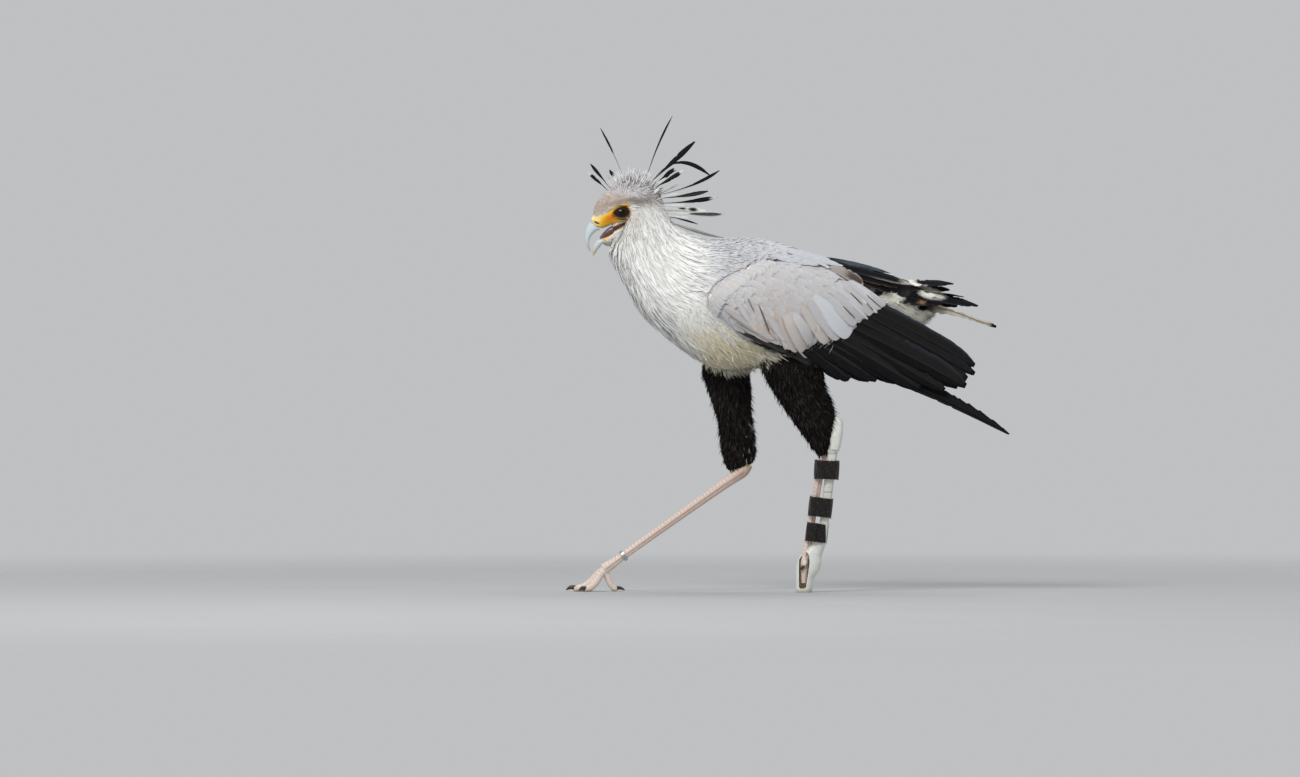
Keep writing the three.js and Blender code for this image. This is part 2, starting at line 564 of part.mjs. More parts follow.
// ---- named parts ------------------------------------------------------------------------
const paint = (color, roughness = 0.8, metalness = 0) => new THREE.MeshStandardMaterial({ color, roughness, metalness });
const LOOK = {
  grey: paint(0xc6c3c3), white: paint(0xdedcd6), cream: paint(0xd9cfc0), black: paint(0x17161a), horn: paint(0xa9bcc4, 0.35),
  leg: paint(0xe0c3b2, 0.6), claw: paint(0x2a2524, 0.4), eye: paint(0x1c120c, 0.05), tongue: paint(0x45303c, 0.5),
  plastic: paint(0xe7e8e4, 0.35), strap: paint(0x1b1b1d, 0.9), metal: paint(0xb9bfc4, 0.3, 0.9),
};
const parts = [
  ["head", head, "white"], ["crest", crown.add(plumes), "black"], ["neck", neck, "white"], ["trunk", trunk, "grey"],
  ["rump", rump, "cream"], ["bill_upper", billUpper, "horn"], ["bill_lower", billLower, "horn"], ["tongue", tongue, "tongue"],
  ["eye_left", eyeBall(-1), "eye"], ["eye_right", eyeBall(1), "eye"],
  ["tail", tail, "black"],
  ["thigh_left", thighLeft, "black"], ["thigh_right", thighRight, "black"],
  ["tarsus_left", tarsusLeft(), "leg"], ["tarsus_right", tarsusRight(), "leg"],
  ["foot_left", footLeft, "leg"], ["foot_right", footRight, "leg"], ["claw_left", clawLeft.subtract(footLeft), "claw"],
  ["splint", splint, "plastic"], ["leg_ring", legRing, "metal"],
];
for (const [side, turn] of [["left", (m) => m], ["right", mirrored]]) {
  const clear = (m) => turn(m.subtract(coverts(GAP))).subtract(bodyGrown);
  parts.push([`wing_${side}`, turn(coverts(0)).subtract(bodyGrown), "grey"]);
  parts.push([`secondaries_${side}`, clear(secondaries()), "black"], [`primaries_${side}`, clear(primaries()), "black"]);
  parts.push([`tertials_${side}`, clear(tertials), "black"]);
}
for (const [name, t] of Object.entries(TOES)) parts.push([`claw_right_${name}`, claw(t).subtract(footRightGrown).subtract(underFloor), "claw"]);
STRAPS.forEach((s, i) => parts.push([`splint_strap_${i + 1}`, strap(s), "strap"]));

// centre the whole bird over the origin
const box = new THREE.Box3();
for (const [, m] of parts) {
  const b = piecesOf(m)[0].boundingBox();
  box.expandByPoint(new THREE.Vector3(...b.min)).expandByPoint(new THREE.Vector3(...b.max));
}
const centre = box.getCenter(new THREE.Vector3());
const group = new THREE.Group();
for (const [name, m, look] of parts) group.add(mesh(name, m.translate([-centre.x, -centre.y, -box.min.z]), LOOK[look]));
export default group;
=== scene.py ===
import bpy
import bmesh
import json
import math
import numpy as np
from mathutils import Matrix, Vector
from mathutils.bvhtree import BVHTree

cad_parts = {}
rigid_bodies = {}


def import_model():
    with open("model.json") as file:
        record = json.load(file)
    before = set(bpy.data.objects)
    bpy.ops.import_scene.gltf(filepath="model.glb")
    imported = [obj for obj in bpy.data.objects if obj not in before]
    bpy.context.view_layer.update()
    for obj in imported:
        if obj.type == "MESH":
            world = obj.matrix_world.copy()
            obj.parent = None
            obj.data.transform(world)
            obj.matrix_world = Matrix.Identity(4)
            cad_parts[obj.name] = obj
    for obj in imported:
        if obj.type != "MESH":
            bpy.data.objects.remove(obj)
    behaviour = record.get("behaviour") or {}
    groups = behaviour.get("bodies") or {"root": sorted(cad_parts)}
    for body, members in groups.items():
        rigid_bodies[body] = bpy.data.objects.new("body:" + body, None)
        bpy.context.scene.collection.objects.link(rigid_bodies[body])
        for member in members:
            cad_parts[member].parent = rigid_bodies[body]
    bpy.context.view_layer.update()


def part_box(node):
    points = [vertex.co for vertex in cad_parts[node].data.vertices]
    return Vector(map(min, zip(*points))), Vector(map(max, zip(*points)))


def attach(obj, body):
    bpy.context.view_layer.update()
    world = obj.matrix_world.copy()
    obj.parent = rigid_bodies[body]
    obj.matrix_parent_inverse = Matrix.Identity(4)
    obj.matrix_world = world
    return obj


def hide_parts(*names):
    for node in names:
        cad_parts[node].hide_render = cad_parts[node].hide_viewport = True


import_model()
rng = np.random.default_rng(11)

# ---------------------------------------------------------------- the side view's scale
UNIT = 0.00185
FLOOR_V, MID_U = 592.0, 797.0
_lo, _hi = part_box("eye_left")
EYE_UV = (622.4, 213.0)
SHIFT = (_lo[0] + _hi[0]) / 2 - (EYE_UV[0] - MID_U) * UNIT


def X(u):
    return (np.asarray(u, float) - MID_U) * UNIT + SHIFT


def Z(v):
    return (FLOOR_V - np.asarray(v, float)) * UNIT


def U_of(x):
    return (x - SHIFT) / UNIT + MID_U


def V_of(z):
    return FLOOR_V - z / UNIT


def at(u, v, y_mm):
    return np.array([float(X(u)), y_mm / 1000.0, float(Z(v))])


def srgb(r, g, b):
    c = np.array([r, g, b], float) / 255.0
    return np.where(c <= 0.04045, c / 12.92, ((c + 0.055) / 1.055) ** 2.4)


def unit(a):
    return a / np.maximum(np.linalg.norm(a, axis=-1, keepdims=True), 1e-12)


def smooth(a, b, x):
    t = np.clip((x - a) / (b - a), 0, 1)
    return t * t * (3 - 2 * t)


def wobble(p, scale, seed=0.0):
    """Smooth noise, -1 to 1, at each of many points."""
    q = np.asarray(p, float) * scale + seed
    k = np.array([[1.7, 2.3, 1.1], [-1.3, 1.9, 2.7], [2.9, -1.1, 1.6], [3.9, 3.1, -2.3]])
    s = np.sin(q @ k[0] + 1.3) + np.sin(q @ k[1] * 1.31 + 0.7) + 0.7 * np.sin(q @ k[2] * 1.7 + 2.1) + 0.5 * np.sin(q @ k[3] * 1.9)
    return s / 3.2


# ---------------------------------------------------------------- camera, floor, light
scene = bpy.context.scene
cam = bpy.data.objects.new("camera", bpy.data.cameras.new("camera"))
scene.collection.objects.link(cam)
cam.data.sensor_width, cam.data.lens = 36.0, 200.0
cam.data.clip_end = 500
DIST = 200.0 / 36.0 * 1300 * UNIT
cam.location = (float(X(650)), -DIST, float(Z(388.5)))
cam.rotation_euler = (math.radians(90), 0, 0)
scene.camera = cam
scene.view_settings.view_transform = "Standard"
scene.view_settings.look = "None"

world = bpy.data.worlds.new("studio")
scene.world = world
world.use_nodes = True
world.node_tree.nodes["Background"].inputs[0].default_value = (0.52, 0.53, 0.54, 1)
world.node_tree.nodes["Background"].inputs[1].default_value = 1.0


def area_light(name, place, aim, size, power, colour=(1, 1, 1)):
    d = bpy.data.lights.new(name, "AREA")
    d.shape, d.size, d.size_y, d.energy, d.color = "RECTANGLE", size[0], size[1], power, colour
    o = bpy.data.objects.new(name, d)
    o.location = place
    o.rotation_euler = (Vector(aim) - Vector(place)).to_track_quat("-Z", "Y").to_euler()
    scene.collection.objects.link(o)
    return o


area_light("key", (-1.7, -2.9, 3.2), (0, 0, 0.45), (1.7, 1.4), 112, (1.0, 0.985, 0.96))
area_light("top", (0.7, 0.9, 3.4), (0, 0, 0.4), (2.6, 2.0), 34, (0.96, 0.98, 1.0))


def nodes_of(mat):
    mat.use_nodes = True
    nt = mat.node_tree
    nt.nodes.clear()
    out = nt.nodes.new("ShaderNodeOutputMaterial")
    bsdf = nt.nodes.new("ShaderNodeBsdfPrincipled")
    nt.links.new(bsdf.outputs[0], out.inputs[0])
    return nt, bsdf, out


def node(nt, kind, **kw):
    n = nt.nodes.new(kind)
    for k, v in kw.items():
        if k in n.inputs:
            n.inputs[k].default_value = v
        else:
            setattr(n, k, v)
    return n


def ramp(nt, stops):
    n = nt.nodes.new("ShaderNodeValToRGB")
    e = n.color_ramp.elements
    e[0].position, e[0].color = stops[0][0], (*stops[0][1], 1)
    e[1].position, e[1].color = stops[-1][0], (*stops[-1][1], 1)
    for pos, c in stops[1:-1]:
        k = e.new(pos)
        k.color = (*c, 1)
    return n


def floor():
    mat = bpy.data.materials.new("floor_paint")
    nt, bsdf, out = nodes_of(mat)
    geo = node(nt, "ShaderNodeNewGeometry")
    n1 = node(nt, "ShaderNodeTexNoise", Scale=3.0, Detail=4.0)
    nt.links.new(geo.outputs["Position"], n1.inputs["Vector"])
    r = ramp(nt, [(0.3, (0.435, 0.44, 0.445)), (0.7, (0.455, 0.46, 0.465))])
    nt.links.new(n1.outputs[0], r.inputs[0])
    nt.links.new(r.outputs[0], bsdf.inputs["Base Color"])
    bsdf.inputs["Roughness"].default_value = 0.85
    bsdf.inputs["Specular IOR Level"].default_value = 0.15
    ln = node(nt, "ShaderNodeVectorMath", operation="LENGTH")
    nt.links.new(geo.outputs["Position"], ln.inputs[0])
    mr = node(nt, "ShaderNodeMapRange", interpolation_type="SMOOTHSTEP")
    mr.inputs["From Min"].default_value, mr.inputs["From Max"].default_value = 0.7, 3.6
    nt.links.new(ln.outputs["Value"], mr.inputs["Value"])
    clear = node(nt, "ShaderNodeBsdfTransparent")
    mix = node(nt, "ShaderNodeMixShader")
    nt.links.new(mr.outputs[0], mix.inputs[0])
    nt.links.new(bsdf.outputs[0], mix.inputs[1])
    nt.links.new(clear.outputs[0], mix.inputs[2])
    nt.links.new(mix.outputs[0], out.inputs[0])
    me = bpy.data.meshes.new("floor")
    me.from_pydata([(-9, -9, 0), (9, -9, 0), (9, 9, 0), (-9, 9, 0)], [], [(0, 1, 2, 3)])
    o = bpy.data.objects.new("floor", me)
    me.materials.append(mat)
    scene.collection.objects.link(o)


floor()


# ---------------------------------------------------------------- mesh making
def build(name, verts, quads=None, tris=None, colours=None, uv=None, vane=None, mat=None, normals=None, link=True):
    """One mesh from arrays: quads n x 4, tris n x 3, colours and maps per vertex."""
    quads = np.zeros((0, 4), np.int32) if quads is None else np.asarray(quads, np.int32)
    tris = np.zeros((0, 3), np.int32) if tris is None else np.asarray(tris, np.int32)
    me = bpy.data.meshes.new(name)
    verts = np.asarray(verts, np.float32).reshape(-1, 3)
    me.vertices.add(len(verts))
    me.vertices.foreach_set("co", verts.ravel())
    loops = np.concatenate([quads.ravel(), tris.ravel()]).astype(np.int32)
    me.loops.add(len(loops))
    me.loops.foreach_set("vertex_index", loops)
    start = np.concatenate([np.arange(len(quads)) * 4, len(quads) * 4 + np.arange(len(tris)) * 3]).astype(np.int32)
    me.polygons.add(len(start))
    me.polygons.foreach_set("loop_start", start)
    me.polygons.foreach_set("use_smooth", np.ones(len(start), bool))
    me.update(calc_edges=True)
    for label, values in (("OFBake", uv), ("Vane", vane)):
        if values is not None:
            layer = me.uv_layers.new(name=label)
            layer.data.foreach_set("uv", np.asarray(values, np.float32)[loops].ravel())
    if colours is not None:
        c = np.ones((len(verts), 4), np.float32)
        c[:, :3] = np.clip(colours, 0, 1)
        a = me.color_attributes.new("Col", "FLOAT_COLOR", "POINT")
        a.data.foreach_set("color", c.ravel())
    if normals is not None:
        me.normals_split_custom_set_from_vertices(np.asarray(normals, np.float32).tolist())
    o = bpy.data.objects.new(name, me)
    if mat is not None:
        me.materials.append(mat)
    if link:
        scene.collection.objects.link(o)
    return o


def set_colours(o, colours):
    c = np.ones((len(o.data.vertices), 4), np.float32)
    c[:, :3] = np.clip(colours, 0, 1)
    a = o.data.color_attributes.get("Col") or o.data.color_attributes.new("Col", "FLOAT_COLOR", "POINT")
    a.data.foreach_set("color", c.ravel())


def coords(o):
    a = np.empty(len(o.data.vertices) * 3, np.float32)
    o.data.vertices.foreach_get("co", a)
    return a.reshape(-1, 3).astype(float)


def vertex_normals(o):
    a = np.empty(len(o.data.vertices) * 3, np.float32)
    o.data.vertex_normals.foreach_get("vector", a)
    return a.reshape(-1, 3).astype(float)


def set_coords(o, v):
    o.data.vertices.foreach_set("co", np.asarray(v, np.float32).ravel())
    o.data.update()


def grid_faces(rows, cols, closed=True, base=0):
    i, j = np.meshgrid(np.arange(rows - 1), np.arange(cols if closed else cols - 1), indexing="ij")
    a = i * cols + j
    b = i * cols + (j + 1) % cols
    return (np.stack([a, b, b + cols, a + cols], -1).reshape(-1, 4) + base).astype(np.int32)


def capped(rings, base=0):
    """A closed surface through rings (rows x cols x 3): verts, quads, tris."""
    rows, cols, _ = rings.shape
    v = np.concatenate([rings.reshape(-1, 3), rings[0].mean(0)[None], rings[-1].mean(0)[None]])
    q = grid_faces(rows, cols)
    j = np.arange(cols)
    k = (j + 1) % cols
    n = rows * cols
    t = np.concatenate([
        np.stack([np.full(cols, n), k, j], -1),
        np.stack([np.full(cols, n + 1), (rows - 1) * cols + j, (rows - 1) * cols + k], -1),
    ])
    return v, q + base, t + base


def joined(name, parts, **kw):
    """Several capped surfaces in one mesh."""
    vs, qs, ts, n = [], [], [], 0
    for v, q, t in parts:
        vs.append(v)
        qs.append(q + n)
        ts.append(t + n)
        n += len(v)
    return build(name, np.concatenate(vs), np.concatenate(qs), np.concatenate(ts), **kw)


def catmull(rows, t):
    rows = np.asarray(rows, float)
    n = len(rows) - 1
    t = np.asarray(t, float) * n
    i = np.clip(np.floor(t).astype(int), 0, n - 1)
    f = (t - i)[..., None]
    g = lambda k: rows[np.clip(k, 0, n)]
    a, b, d, e = g(i - 1), g(i), g(i + 1), g(i + 2)
    return 0.5 * (2 * b + (d - a) * f + (2 * a - 5 * b + 4 * d - e) * f**2 + (3 * b - a - 3 * d + e) * f**3)


class Loft:
    """A body through stations [uTop, vTop, uLow, vLow, y, half width, widest place from the top]."""

    def __init__(self, stations, curl=(0, 0), power=2.0, mirror=False):
        self.rows, self.curl, self.power, self.mirror = np.asarray(stations, float), curl, power, mirror

    def __call__(self, t, q, grow=0.0):
        s = catmull(self.rows, t)
        top = np.stack([X(s[..., 0]), s[..., 4] / 1000, Z(s[..., 1])], -1)
        low = np.stack([X(s[..., 2]), s[..., 4] / 1000, Z(s[..., 3])], -1)
        up = unit(top - low)
        top, low = top + up * grow, low - up * grow
        mid = top + (low - top) * s[..., 6:7]
        w = s[..., 5] / 1000 + grow
        c, sn = np.cos(q), np.sin(q)
        flat = lambda x: np.sign(x) * np.abs(x) ** (2 / self.power)
        arm = np.where(sn[..., None] > 0, top - mid, low - mid)
        p = mid + arm * np.abs(flat(sn))[..., None]
        p = p.copy()
        p[..., 1] += flat(c) * w + sn**2 * np.where(sn > 0, self.curl[0], self.curl[1]) / 1000 * (s[..., 5] / 20)
        if self.mirror:
            p[..., 1] *= -1
        return p

    def rings(self, nt, nq, grow=0.0, t0=0.0, t1=1.0):
        t, q = np.meshgrid(np.linspace(t0, t1, nt), np.arange(nq) / nq * 2 * np.pi, indexing="ij")
        r = self(t, q, grow)
        if grow:
            for end, other in ((0, 1), (-1, -2)):
                d = unit(r[end].mean(0) - r[other].mean(0))
                r[end] = r[end] + d * grow
        return r if not self.mirror else r[:, ::-1]


BODY = [
    [591.2, 219.2, 595.2, 226.6, 0, 6.5, 0.6], [593.0, 213.5, 602.0, 228.2, 0, 9.8, 0.65], [597.5, 200.5, 609.0, 225.6, 0, 16.0, 0.62],
    [608.5, 191.5, 616.0, 223.4, 0, 22.5, 0.56], [622.0, 181.0, 624.0, 222.6, 0, 27.0, 0.55], [637.5, 179.0, 630.2, 224.0, 0, 30.0, 0.55],
    [655.0, 188.5, 614.0, 249.0, 0, 33.5, 0.5], [666.0, 206.0, 613.5, 262.5, 0, 37.0, 0.5], [675.0, 222.5, 621.0, 276.0, 0, 41.5, 0.52],
    [690.5, 232.0, 631.0, 294.5, 0, 49.0, 0.54], [710.0, 238.3, 640.5, 312.5, 0, 60.0, 0.55], [733.0, 237.4, 659.0, 330.0, 0, 72.0, 0.55],
    [755.0, 237.8, 685.5, 352.0, 0, 80.0, 0.55], [778.0, 241.5, 716.0, 367.5, 0, 83.0, 0.54], [800.0, 248.8, 751.0, 368.0, 0, 80.0, 0.53],
    [822.0, 255.5, 787.0, 358.0, 0, 72.0, 0.52], [843.0, 263.0, 822.0, 346.0, 0, 60.0, 0.5], [864.0, 269.5, 855.0, 332.0, 0, 47.0, 0.5],
    [885.0, 275.0, 886.0, 322.0, 0, 34.0, 0.5], [903.0, 281.0, 914.0, 324.0, 0, 21.0, 0.5], [914.0, 287.0, 929.0, 314.0, 0, 8.0, 0.5],
]
JAW = [
    [640.0, 221.5, 628.0, 250.0, 0, 19.0, 0.5], [630.0, 225.2, 617.0, 247.5, 0, 16.5, 0.5], [620.0, 229.6, 610.5, 245.5, 0, 13.8, 0.45],
    [611.0, 234.4, 605.0, 244.4, 0, 11.2, 0.45], [603.6, 238.9, 601.8, 243.8, 0, 9.0, 0.5],
]
THROAT = [
    [636.0, 221.0, 634.0, 232.0, 0, 12.0, 0.5], [627.0, 221.5, 627.0, 228.0, 0, 10.0, 0.5], [619.0, 221.5, 620.0, 231.5, 0, 8.6, 0.5],
    [612.5, 223.6, 614.0, 234.5, 0, 7.2, 0.5],
]
UPPER_BILL = [
    [589.6, 222.2, 600.2, 229.8, 0, 8.6, 0.66], [587.3, 226.6, 596.0, 231.4, 0, 7.9, 0.66], [585.7, 231.8, 591.8, 235.2, 0, 6.7, 0.62],
    [585.1, 238.0, 589.5, 239.8, 0, 5.2, 0.55], [585.9, 243.6, 589.2, 244.0, 0, 3.7, 0.5], [587.7, 248.0, 589.8, 247.9, 0, 2.2, 0.5],
    [590.0, 251.7, 590.5, 251.2, 0, 0.7, 0.5],
]
LOWER_BILL = [
    [603.2, 238.8, 601.8, 244.4, 0, 8.8, 0.4], [598.0, 239.6, 599.6, 247.4, 0, 7.8, 0.4], [594.4, 244.0, 597.0, 250.6, 0, 6.4, 0.45],
    [592.6, 249.4, 595.2, 253.2, 0, 4.4, 0.5], [592.9, 255.8, 593.6, 255.4, 0, 0.8, 0.5],
]
TONGUE = [
    [619.8, 224.6, 620.2, 228.4, 0, 4.6, 0.5],
    [612.0, 226.0, 613.2, 233.6, 0, 6.2, 0.5], [607.0, 229.0, 609.0, 236.0, 0, 5.8, 0.5], [602.5, 233.4, 603.6, 238.0, 0, 4.0, 0.5],
    [599.6, 237.4, 600.2, 239.0, 0, 1.6, 0.5],
]
WING = [
    [706.8, 294.0, 707.3, 300.0, -62, 7, 0.5], [709.8, 284.5, 711.5, 311.0, -68, 14, 0.5], [720.0, 276.0, 722.0, 323.0, -76, 18, 0.5],
    [739.0, 268.0, 742.0, 337.0, -83, 20, 0.5], [763.0, 260.5, 768.0, 349.0, -86, 20, 0.5], [789.0, 258.4, 797.0, 355.0, -85, 19, 0.5],
    [812.0, 262.0, 822.0, 349.5, -81, 17, 0.5], [833.0, 270.8, 847.0, 339.0, -75, 14, 0.5], [853.0, 285.0, 863.0, 323.0, -68, 10, 0.5],
    [872.0, 301.5, 878.0, 312.0, -61, 6, 0.5],
]
THIGH_R = [
    [703.0, 345.0, 764.0, 338.0, 44, 28, 0.5], [703.0, 372.0, 750.0, 370.0, 46, 28, 0.5], [711.0, 396.0, 751.0, 392.0, 47, 26, 0.5],
    [718.5, 422.0, 752.0, 418.0, 47, 24, 0.5], [721.5, 446.0, 755.5, 441.0, 46, 23, 0.5], [723.8, 462.0, 755.5, 456.0, 46, 19, 0.5],
    [726.5, 468.5, 751.0, 462.5, 46, 14, 0.5],
]
THIGH_L = [
    [752.0, 340.0, 832.0, 336.0, -40, 28, 0.5], [762.0, 370.0, 824.0, 362.0, -40, 28, 0.5], [776.0, 395.0, 824.0, 384.0, -39, 26, 0.5],
    [791.0, 418.0, 831.5, 404.0, -38, 25, 0.5], [802.5, 434.0, 834.5, 422.0, -36, 22, 0.5], [811.5, 446.0, 831.5, 437.0, -34, 16, 0.5],
    [817.0, 453.5, 827.5, 449.5, -33, 8, 0.5],
]
body, jaw, throat = Loft(BODY), Loft(JAW), Loft(THROAT)
wing_l, wing_r = Loft(WING, curl=(26, 12)), Loft(WING, curl=(26, 12), mirror=True)
thigh_l, thigh_r = Loft(THIGH_L), Loft(THIGH_R)


def remesh(o, voxel, smooth_steps=2):
    m = o.modifiers.new("r", "REMESH")
    m.mode, m.voxel_size, m.use_smooth_shade = "VOXEL", voxel, True
    if smooth_steps:
        s = o.modifiers.new("s", "SMOOTH")
        s.factor, s.iterations = 0.5, smooth_steps
    bpy.context.view_layer.objects.active = o
    apply_all(o)
    return o


def apply_all(o):
    dg = bpy.context.evaluated_depsgraph_get()
    dg.update()
    me = bpy.data.meshes.new_from_object(o.evaluated_get(dg))
    old = o.data
    o.modifiers.clear()
    o.data = me
    me.name = o.name
    bpy.data.meshes.remove(old)


# ---------------------------------------------------------------- materials
def attribute_material(name, rough=0.7, spec=0.3, sheen=0.0, bump=None, fibre=None, speck=0.0, coat=0.0, sub=0.0, rough_noise=0.0):
    """Vertex colour with fine procedural variation. bump: (noise scale, distance). fibre: lines along the vane map (count, distance)."""
    mat = bpy.data.materials.new(name)
    nt, bsdf, out = nodes_of(mat)
    col = node(nt, "ShaderNodeVertexColor", layer_name="Col")
    source = col.outputs["Color"]
    geo = node(nt, "ShaderNodeTexCoord")
    if speck:
        n = node(nt, "ShaderNodeTexNoise", Scale=420.0, Detail=3.0, Roughness=0.6)
        nt.links.new(geo.outputs["Object"], n.inputs["Vector"])
        mr = node(nt, "ShaderNodeMapRange")
        mr.inputs["From Min"].default_value, mr.inputs["From Max"].default_value = 0.3, 0.7
        mr.inputs["To Min"].default_value, mr.inputs["To Max"].default_value = 1.0 - speck, 1.0 + speck
        nt.links.new(n.outputs[0], mr.inputs["Value"])
        vm = node(nt, "ShaderNodeVectorMath", operation="SCALE")
        nt.links.new(source, vm.inputs[0])
        nt.links.new(mr.outputs[0], vm.inputs["Scale"])
        source = vm.outputs[0]
    nt.links.new(source, bsdf.inputs["Base Color"])
    bsdf.inputs["Roughness"].default_value = rough
    bsdf.inputs["Specular IOR Level"].default_value = spec
    bsdf.inputs["Sheen Weight"].default_value = sheen
    bsdf.inputs["Sheen Roughness"].default_value = 0.4
    bsdf.inputs["Coat Weight"].default_value = coat
    bsdf.inputs["Coat Roughness"].default_value = 0.12
    if sub:
        bsdf.inputs["Subsurface Weight"].default_value = sub
        bsdf.inputs["Subsurface Radius"].default_value = (0.004, 0.002, 0.0012)
        bsdf.inputs["Subsurface Scale"].default_value = 1.0
    if rough_noise:
        n = node(nt, "ShaderNodeTexNoise", Scale=90.0, Detail=2.0)
        nt.links.new(geo.outputs["Object"], n.inputs["Vector"])
        mr = node(nt, "ShaderNodeMapRange")
        mr.inputs["To Min"].default_value, mr.inputs["To Max"].default_value = rough - rough_noise, rough + rough_noise
        nt.links.new(n.outputs[0], mr.inputs["Value"])
        nt.links.new(mr.outputs[0], bsdf.inputs["Roughness"])
    last = None
    if bump:
        n = node(nt, "ShaderNodeTexNoise", Scale=float(bump[0]), Detail=4.0, Roughness=0.6)
        nt.links.new(geo.outputs["Object"], n.inputs["Vector"])
        b = node(nt, "ShaderNodeBump", Strength=1.0, Distance=float(bump[1]))
        nt.links.new(n.outputs[0], b.inputs["Height"])
        last = b
    if fibre:
        uv = node(nt, "ShaderNodeUVMap", uv_map="Vane")
        w = node(nt, "ShaderNodeTexWave", wave_type="BANDS", bands_direction="Y", wave_profile="SIN")
        w.inputs["Scale"].default_value = float(fibre[0])
        w.inputs["Distortion"].default_value = 1.2
        w.inputs["Detail"].default_value = 1.0
        nt.links.new(uv.outputs[0], w.inputs["Vector"])
        b = node(nt, "ShaderNodeBump", Strength=0.8, Distance=float(fibre[1]))
        nt.links.new(w.outputs["Fac"], b.inputs["Height"])
        if last:
            nt.links.new(last.outputs[0], b.inputs["Normal"])
        last = b
    if last:
        nt.links.new(last.outputs[0], bsdf.inputs["Normal"])
    return mat


M_SKIN = attribute_material("bird_skin", 0.55, 0.35, bump=(900, 0.0004), speck=0.06, sub=0.05)
M_SOFT = attribute_material("soft_feather", 0.8, 0.14, sheen=0.1, speck=0.05)
M_VANE = attribute_material("contour_feather", 0.75, 0.16, sheen=0.05, speck=0.05, fibre=(9, 0.0002))
M_BLACK = attribute_material("black_feather", 0.42, 0.12, fibre=(26, 0.00018), speck=0.10)
M_DULL = attribute_material("dull_black_feather", 0.62, 0.05, fibre=(26, 0.00018), speck=0.10)
M_SHAG = attribute_material("black_down", 0.8, 0.07, speck=0.10)
M_HORN = attribute_material("horn", 0.32, 0.45, bump=(500, 0.00012), speck=0.05, coat=0.15)
M_CLAW = attribute_material("claw_horn", 0.38, 0.4, bump=(600, 0.0002), speck=0.12)
M_LEG = attribute_material("leg_scales", 0.5, 0.4, bump=(1400, 0.0002), speck=0.07, sub=0.04)
M_TONGUE = attribute_material("tongue_flesh", 0.3, 0.5, bump=(700, 0.0003), speck=0.08, coat=0.4)


# ---------------------------------------------------------------- markings, shared by skin and coat
WHITE = srgb(236, 236, 233)
CROWN_GREY = srgb(193, 191, 193)
FOREHEAD = srgb(196, 181, 170)
BACK_GREY = srgb(198, 199, 203)
WING_GREY = srgb(201, 200, 202)
CREAM = srgb(222, 213, 186)
BLACK = srgb(27, 26, 29)
THIGH_BLACK = srgb(25, 22, 20)
YELLOW = srgb(240, 184, 38)
ORANGE = srgb(236, 142, 20)
PALE_YELLOW = srgb(246, 222, 150)
PINK_PALE = srgb(206, 186, 160)
MOUTH = srgb(70, 26, 28)


def blend_to(c, target, m):
    m = np.clip(m, 0, 1)[..., None]
    return c * (1 - m) + np.asarray(target) * m


def spot(u, v, cu, cv, ru, rv, soft=0.35, turn=0.0):
    """1 inside an ellipse of the side view, fading out over soft of its size."""
    a = math.radians(turn)
    du, dv = u - cu, v - cv
    x, y = du * math.cos(a) + dv * math.sin(a), -du * math.sin(a) + dv * math.cos(a)
    r = np.sqrt((x / ru) ** 2 + (y / rv) ** 2)
    return 1 - smooth(1 - soft, 1 + soft, r)


def inside(u, v, poly, soft=1.0):
    """1 inside a side-view outline, fading over soft steps across its edge."""
    poly = np.asarray(poly, float)
    d = np.full(u.shape, 1e9)
    wn = np.zeros(u.shape)
    for (x0, y0), (x1, y1) in zip(poly, np.roll(poly, -1, 0)):
        ex, ey = x1 - x0, y1 - y0
        t = np.clip(((u - x0) * ex + (v - y0) * ey) / (ex * ex + ey * ey + 1e-12), 0, 1)
        d = np.minimum(d, np.hypot(u - x0 - t * ex, v - y0 - t * ey))
        cross = ex * (v - y0) - ey * (u - x0)
        wn += np.where((y0 <= v) & (y1 > v) & (cross > 0), 1, 0) - np.where((y0 > v) & (y1 <= v) & (cross < 0), 1, 0)
    return smooth(-soft, soft, np.where(wn != 0, d, -d))


# bare skin of the face in the side view
FACE = [(588.5, 219), (591.5, 216.8), (597, 216.8), (602, 215.6), (606.5, 213.4), (610.2, 210.6), (613.5, 207.4), (617.5, 205.2), (622, 203.9), (627, 203.6),
        (630.8, 205.6), (632.2, 209.5), (631.6, 214), (629.2, 217.6), (629.6, 221), (622, 222), (615, 223.6), (608, 227), (600, 229.6), (594, 229), (589.5, 224)]
JAW_RIM = [(630.5, 219.8), (630.8, 222.2), (627, 224.6), (621, 228.2), (615, 231.4), (610, 236.4), (604.5, 241.0), (600, 245.0), (597.6, 243.6), (598.6, 240.6), (606, 234.2), (614, 229.8), (622, 225.4), (628, 220.8)]
GAPE_LINE = [(629.5, 219.6), (629.5, 221.0), (622, 222.9), (615.5, 224.7), (609, 228.0), (601.5, 230.6), (600.5, 228.6), (608, 225.6), (615, 222.4), (622, 220.9)]


